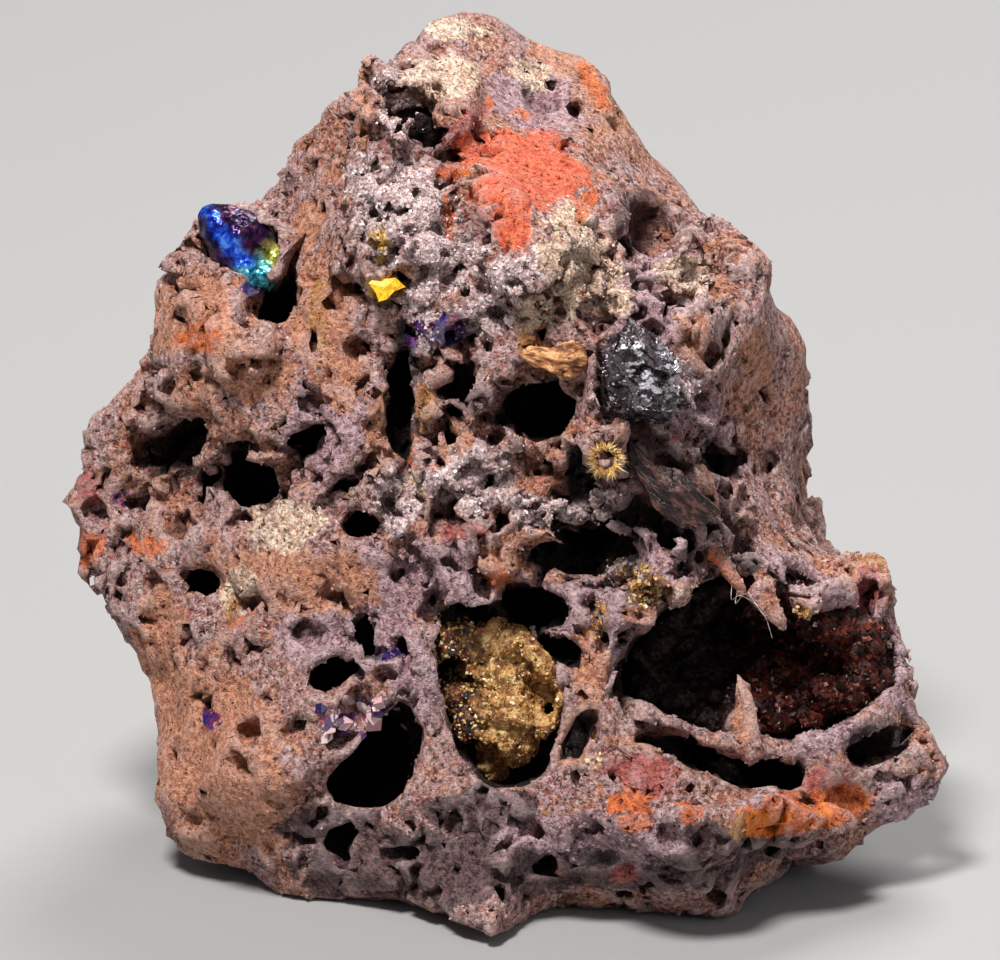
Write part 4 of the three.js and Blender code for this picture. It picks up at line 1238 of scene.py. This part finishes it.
def make_lustrous_crystal():
    """The dark, stepped crystal right of the middle."""
    growth = np.array([0.55, 0.45, 0.70])
    step_height = 0.45

    def work(volume):
        volume.values += volume.waves((0.05, 0.9, 45), (0.02, 0.4, 46))

    _, piece = sculpt("hematite_crystal", 0.07, work)
    local = to_face(mesh_points(piece))
    level = (local @ growth + 0.35 * fractal(local, 1.4, 2, 44)) / step_height
    steps = 0.16 * (level - np.floor(level))
    push_out(piece, 0.55 * crumble(local, 2.0, 5) + 0.06 * crumble(local, 0.6, 6) - steps)
    thin_out(piece, 34000)
    local = to_face(mesh_points(piece))
    streaks = fractal(local * np.array([1.2, 3.4, 1.2]), 1.0, 4, 47, 0.7)
    pale = patches(local, PALE_SPOTS, 48)
    set_attribute(piece, "streak", np.clip(0.26 + 0.6 * streaks + 0.42 * pale, 0, 1))
    smooth(piece, False)
    return piece


# Small crystals and crumbs, many in one mesh

# Where golden and violet crystals sit on the rock.
GOLD_SPOTS = [
    (7.3, -5.4, 0.9, 1.1, 0), (4.85, -7.0, 0.35, 1.2, 0), (-6.0, 12.0, 0.4, 0.5, 0),
    (15.0, -6.6, 0.5, 0.3, 0), (-3.0, -6.4, 0.5, 0.4, 0), (6.4, -4.6, 0.5, 0.6, 0),
    (4.6, -13.6, 0.3, 0.6, 0),
]
VIOLET_SPOTS = [(-6.2, -11.9, 1.4, 0.9, 0), (-8.3, -12.1, 0.9, 0.7, 0)]

SHAPES = {
    "octahedron": (
        [(1, 0, 0), (-1, 0, 0), (0, 1, 0), (0, -1, 0), (0, 0, 1), (0, 0, -1)],
        [(0, 2, 4), (2, 1, 4), (1, 3, 4), (3, 0, 4), (2, 0, 5), (1, 2, 5), (3, 1, 5), (0, 3, 5)],
    ),
    "rhomb": (
        [(0, 0, 1.3), (1, 0, 0.4), (-0.5, 0.87, 0.4), (-0.5, -0.87, 0.4), (0.5, 0.87, -0.4), (-1, 0, -0.4),
         (0.5, -0.87, -0.4), (0, 0, -1.3)],
        [(0, 1, 4), (0, 4, 2), (0, 2, 5), (0, 5, 3), (0, 3, 6), (0, 6, 1), (7, 4, 1), (7, 1, 6), (7, 6, 3),
         (7, 3, 5), (7, 5, 2), (7, 2, 4)],
    ),
}


def random_turns(draw, count):
    """Random rotations, as matrices, from random unit quaternions."""
    quaternion = draw.normal(size=(count, 4))
    w, x, y, z = (quaternion / np.linalg.norm(quaternion, axis=1, keepdims=True)).T
    return np.stack([
        np.stack([1 - 2 * (y * y + z * z), 2 * (x * y - z * w), 2 * (x * z + y * w)], -1),
        np.stack([2 * (x * y + z * w), 1 - 2 * (x * x + z * z), 2 * (y * z - x * w)], -1),
        np.stack([2 * (x * z - y * w), 2 * (y * z + x * w), 1 - 2 * (x * x + y * y)], -1),
    ], 1)


def scatter(name, base, density, count, sizes, shape, seed, carry=None):
    """Crystals of random size and turn set on a mesh, as one mesh. carry holds values to pass on from
    the base."""
    jitter = 0.15
    sink = 0.2
    draw = np.random.default_rng(seed)
    points = mesh_points(base)
    corners = triangles_of(base)
    places, normals, chosen = surface_points(points, corners, count, seed + 1, density)
    outline, faces = (np.array(part) for part in SHAPES[shape])
    size = np.exp(draw.uniform(math.log(sizes[0]), math.log(sizes[1]), count))
    stretch = draw.uniform(0.65, 1.35, (count, 1, 3))
    bodies = outline[None] * stretch + draw.normal(size=(count, len(outline), 3)) * jitter
    bodies = np.einsum("nij,nkj->nki", random_turns(draw, count), bodies) * size[:, None, None]
    bodies += (places - normals * (sink * size)[:, None])[:, None, :]
    bodies[..., 2] = np.maximum(bodies[..., 2], 0.02)
    polygons = faces[None] + (np.arange(count) * len(outline))[:, None, None]
    piece = link(name, bodies.reshape(-1, 3), polygons.reshape(-1, 3))
    set_attribute(piece, "tone", np.repeat(draw.random(count), len(outline)))
    for key, values in (carry or {}).items():
        set_attribute(piece, key, np.repeat(values[corners[chosen]].mean(1), len(outline)))
    smooth(piece, False)
    return piece


def make_slab(name, middle, outline, heights, root_depth, crown):
    """A flat piece with a ragged outline on the face, sunk into the rock and crowned at its middle."""
    count = len(outline)
    top = np.column_stack([outline, heights])
    bottom = np.column_stack([outline, np.full(count, -root_depth)])
    points = np.vstack([top, bottom, [(0, 0, crown)], [(0, 0, -root_depth)]]) + middle
    polygons = []
    for step in range(count):
        after = (step + 1) % count
        polygons.append((2 * count, after, step))
        polygons.append((step, after, count + after))
        polygons.append((step, count + after, count + step))
        polygons.append((2 * count + 1, count + step, count + after))
    piece = link(name, from_face(points), np.array(polygons))
    smooth(piece, False)
    return piece


def make_plate():
    """The flat yellow crystal on the rock's upper left."""
    outline = [
        (-0.85, 0.20), (-0.45, 0.55), (0.05, 0.42), (0.50, 0.48), (1.00, 0.02), (0.45, -0.18),
        (0.05, -0.60), (-0.35, -0.72), (-0.48, -0.28),
    ]
    heights = 0.1 * np.cos(2.2 * np.arange(len(outline)))
    return make_slab("yellow_plate", (-5.7, 9.6, 7.9), outline, heights, 0.9, 0.16)


def roughen_slab(piece, turn, amount):
    """Splits a slab finely and gives it a grain along a direction on the face, turned in degrees."""
    split = piece.modifiers.new("split", "SUBSURF")
    split.subdivision_type = "SIMPLE"
    split.levels = 4
    apply_modifiers(piece)
    local = to_face(mesh_points(piece))
    along, aside = turned(local[:, 0], local[:, 1], turn)
    drawn_out = np.column_stack([0.4 * along, aside, local[:, 2]])
    grain = fractal(drawn_out, 0.4, 3, 97, 0.7)
    push_out(piece, amount * (0.6 * grain + 0.9 * crumble(drawn_out, 0.8, 8)))
    set_attribute(piece, "grain", np.clip(0.5 + 0.5 * grain, 0, 1))
    return piece


def make_ochre_block():
    """The wedge of ochre rock that juts out above the hollow in the middle."""
    outline = [
        (-1.90, 0.25), (-1.35, 0.70), (-0.20, 0.62), (0.85, 0.95), (1.45, 0.70), (1.55, -0.10),
        (1.15, -0.72), (0.35, -0.95), (-0.15, -0.55), (-1.05, -0.25),
    ]
    heights = [-0.35, -0.10, 0.15, 0.25, 0.05, -0.15, -0.30, 0.05, 0.10, -0.25]
    piece = make_slab("ochre_block", (2.8, 5.95, 9.75), outline, heights, 1.9, 0.38)
    return roughen_slab(piece, -12, 0.09)


def make_brown_slab():
    """The dark, striated slab that lies aslant in the hollows right of the middle."""
    outline = [
        (-2.0, 1.6), (-1.9, 2.5), (-1.3, 1.95), (-0.7, 1.35), (0.6, 1.05), (1.4, 0.1), (2.55, -0.9),
        (1.9, -1.6), (0.6, -1.8), (-0.7, -0.8), (-1.3, 0.45),
    ]
    heights = [-0.1, 0.2, 0.1, -0.2, -0.1, 0.0, -0.3, -0.5, -0.4, -0.2, 0.0]
    piece = make_slab("brown_slab", (8.4, -0.6, 9.0), outline, heights, 2.4, 0.35)
    return roughen_slab(piece, -46, 0.10)


def make_rosette():
    """A crown of golden needles around a small knob."""
    draw = np.random.default_rng(121)
    count = 320
    turn = draw.uniform(0, 2 * math.pi, count)
    lift = draw.uniform(-0.3, 0.6, count)
    thickness = draw.uniform(0.03, 0.08, count)
    way = np.column_stack([np.cos(turn), np.sin(turn), lift])
    middle = np.array([5.25, 1.0, 11.0])
    foot = middle + way * draw.uniform(0.42, 0.72, count)[:, None]
    tip = foot + way * draw.uniform(0.12, 0.36, count)[:, None] + draw.normal(size=(count, 3)) * 0.12
    aside = np.column_stack([-np.sin(turn), np.cos(turn), np.zeros(count)])
    upright = np.cross(way, aside)
    points = np.stack([
        foot + aside * thickness[:, None],
        foot - 0.5 * aside * thickness[:, None] + upright * thickness[:, None],
        foot - 0.5 * aside * thickness[:, None] - upright * thickness[:, None],
        tip,
    ], 1)
    faces = np.array([(0, 1, 2), (0, 3, 1), (1, 3, 2), (2, 3, 0)])
    polygons = faces[None] + 4 * np.arange(count)[:, None, None]
    piece = link("rosette", from_face(points.reshape(-1, 3)), polygons.reshape(-1, 3))
    set_attribute(piece, "tone", np.repeat(draw.uniform(0.3, 1.0, count), 4))
    smooth(piece, False)
    return piece


def add_tube(points, polygons, curve, radius, sides):
    """Adds a closed tube along a curve to lists of points and triangles."""
    way = np.gradient(curve, axis=0)
    aside = np.cross(way, (0.3, 0.2, 1.0))
    aside /= np.linalg.norm(aside, axis=1, keepdims=True)
    upright = np.cross(way, aside)
    upright /= np.linalg.norm(upright, axis=1, keepdims=True)
    first = len(points)
    last = first + (len(curve) - 1) * sides
    for place, across, up in zip(curve, aside, upright):
        for side in range(sides):
            angle = 2 * math.pi * side / sides
            points.append(place + radius * (math.cos(angle) * across + math.sin(angle) * up))
    for low in range(first, last, sides):
        for side in range(sides):
            after = (side + 1) % sides
            polygons.append((low + side, low + after, low + sides + after))
            polygons.append((low + side, low + sides + after, low + sides + side))
    for side in range(1, sides - 1):
        polygons.append((first, first + side + 1, first + side))
        polygons.append((last, last + side, last + side + 1))


def make_fibres():
    """A few loose fibres caught in the mouth of the large vug, and one at the upper right."""
    routes = [
        [(11.6, -5.0, 6.0), (11.5, -6.1, 6.5), (11.9, -5.7, 6.8), (12.5, -6.0, 6.4), (13.1, -6.4, 5.4)],
        [(11.9, -5.3, 6.0), (11.7, -6.3, 6.2), (12.2, -5.6, 6.8), (12.9, -6.1, 5.6)],
        [(12.4, -5.6, 5.6), (12.9, -6.4, 6.2), (13.3, -6.9, 6.2), (13.6, -7.9, 5.8)],
        [(5.4, 15.4, 7.0), (5.9, 15.1, 7.6), (6.2, 15.5, 7.2)],
    ]
    steps = 24
    points, polygons = [], []
    for route in routes:
        knots = np.array(route)
        spot = np.linspace(0, len(knots) - 1, steps)
        curve = np.stack([np.interp(spot, np.arange(len(knots)), knots[:, axis]) for axis in range(3)], 1)
        for _ in range(3):
            curve[1:-1] = (curve[:-2] + curve[1:-1] + curve[2:]) / 3
        add_tube(points, polygons, curve, radius=0.013, sides=5)
    piece = link("fibres", from_face(np.array(points)), np.array(polygons))
    smooth(piece)
    return piece


# Camera, floor and light

def make_camera():
    data = bpy.data.cameras.new("camera")
    data.sensor_width = 36
    data.lens = 600
    data.clip_start = 0.05
    data.clip_end = 10
    camera = bpy.data.objects.new("camera", data)
    bpy.context.scene.collection.objects.link(camera)
    picture_width = 50.0
    focus = np.array([0.0, 0.0, 5.0])
    distance = picture_width * data.lens / data.sensor_width
    place = from_face(focus + np.array([0.0, 0.0, distance])) * MM
    camera.location = Vector(place)
    camera.rotation_euler = (math.pi / 2 - FACE_LEAN, 0, 0)
    bpy.context.scene.camera = camera


def area_light(name, place, aim, size, power, colour=(1, 1, 1)):
    data = bpy.data.lights.new(name, "AREA")
    data.shape = "DISK"
    data.size = size
    data.energy = power
    data.color = colour
    lamp = bpy.data.objects.new(name, data)
    lamp.location = place
    lamp.rotation_euler = (Vector(aim) - Vector(place)).to_track_quat("-Z", "Y").to_euler()
    bpy.context.scene.collection.objects.link(lamp)


def make_lights():
    middle = (0, 0, 0.022)
    area_light("key", (-0.08, -0.15, 0.37), middle, 0.10, 2.35, (1.0, 0.97, 0.94))
    area_light("fill", (0.30, -0.28, 0.20), middle, 0.25, 0.28, (0.92, 0.95, 1.0))
    area_light("rim", (0.08, 0.24, 0.30), middle, 0.20, 1.3, (1.0, 0.98, 0.96))
    world = bpy.data.worlds.new("studio")
    bpy.context.scene.world = world
    world.use_nodes = True
    world.node_tree.nodes["Background"].inputs["Color"].default_value = (0.80, 0.82, 0.86, 1)
    world.node_tree.nodes["Background"].inputs["Strength"].default_value = 0.22


def make_floor():
    """A pale floor that curves up into a wall far behind the specimen."""
    half_width = 3.0
    front = -2.5
    bend_start = 1.5
    bend_radius = 0.8
    wall_top = 2.6
    turn = [math.radians(5 * step) for step in range(19)]
    profile = [(front, 0.0)]
    profile += [
        (bend_start + bend_radius * math.sin(angle), bend_radius * (1 - math.cos(angle))) for angle in turn
    ]
    profile.append((bend_start + bend_radius, wall_top))
    points = [(x, y, z) for y, z in profile for x in (-half_width, half_width)]
    faces = [(2 * i, 2 * i + 1, 2 * i + 3, 2 * i + 2) for i in range(len(profile) - 1)]
    mesh = bpy.data.meshes.new("floor")
    mesh.from_pydata(points, [], faces)
    floor = bpy.data.objects.new("floor", mesh)
    bpy.context.scene.collection.objects.link(floor)
    smooth(floor)
    material = bpy.data.materials.new("floor")
    material.use_nodes = True
    shader = material.node_tree.nodes["Principled BSDF"]
    shader.inputs["Base Color"].default_value = (0.31, 0.31, 0.31, 1)
    shader.inputs["Roughness"].default_value = 0.7
    mesh.materials.append(material)


# The whole specimen

make_camera()
make_lights()
make_floor()
bpy.context.scene.view_settings.view_transform = "Standard"

rock, soft_rock, rock_surface = make_rock()
weights = colour_rock(rock, soft_rock, rock_surface)
gold_crust = make_gold_crust()
druse, druse_right = make_druse()
tarnished = make_tarnished()
lustrous = make_lustrous_crystal()
fibres = make_fibres()

local = to_face(mesh_points(rock_surface))
front = smoothstep(-3, 0, local[:, 2])
crumb_density = (0.25 + front) * (0.4 + weights["lilac"] + weights["maroon"] + weights["frost"])
crumb_density *= smoothstep(0.35, 0.6, weights["relief"])
patchy = smoothstep(-0.25, 0.35, fractal(local, 0.9, 3, 91))
frost_density = front * patchy * np.maximum(weights["frost"], 0.7 * weights["cream"]) ** 2
gold_density = patches(local, GOLD_SPOTS, 90, 0.2, 0.8) * front
violet_density = patches(local, VIOLET_SPOTS, 95) * front
even = np.ones(len(gold_crust.data.vertices))

crumbs = scatter(
    "rock_crumbs", rock_surface, crumb_density, 18000, (0.06, 0.19), "octahedron", 101, carry=weights,
)
frost = scatter(
    "frost_crystals", rock_surface, frost_density, 7000, (0.035, 0.11), "rhomb", 103,
    carry={"cream": weights["cream"]},
)
violet = scatter("violet_crystals", rock_surface, violet_density, 110, (0.14, 0.48), "rhomb", 111)
gold_on_rock = scatter("gold_crystals", rock_surface, gold_density, 1500, (0.06, 0.17), "rhomb", 105)
gold_on_crust = scatter("natrojarosite_crystals", gold_crust, even, 4200, (0.04, 0.12), "rhomb", 107)
druse_crystals = scatter(
    "vug_crystals", druse, 0.1 + druse_right, 3600, (0.06, 0.20), "rhomb", 109, carry={"right": druse_right},
)

rock_paint = rock_material()
PIECES = [
    (rock_surface, rock_paint, "rock", ["rock"]),
    (crumbs, rock_paint, "rock", []),
    (frost, frost_material(), "rock", []),
    (gold_crust, gold_material(), "natrojarosite", ["natrojarosite_crust"]),
    (gold_on_crust, gold_crystal_material(), "natrojarosite", []),
    (gold_on_rock, gold_crystal_material(), "natrojarosite", []),
    (make_plate(), plate_material(), "natrojarosite", []),
    (make_ochre_block(), ochre_material(), "rock", []),
    (make_brown_slab(), brown_material(), "rock", []),
    (make_rosette(), gold_crystal_material(), "natrojarosite", []),
    (violet, violet_material(), "rock", []),
    (druse, druse_material(), "vug_lining", ["vug_lining"]),
    (druse_crystals, druse_crystal_material(), "vug_lining", []),
    (tarnished, tarnish_material(), "tarnished_goethite", ["tarnished_goethite"]),
    (lustrous, lustre_material(), "hematite", ["hematite_crystal"]),
    (fibres, lint_material(), "rock", []),
]
for piece, material, slot, nodes in PIECES:
    piece.data.materials.append(material)
    finish_piece(piece, slot, *nodes)
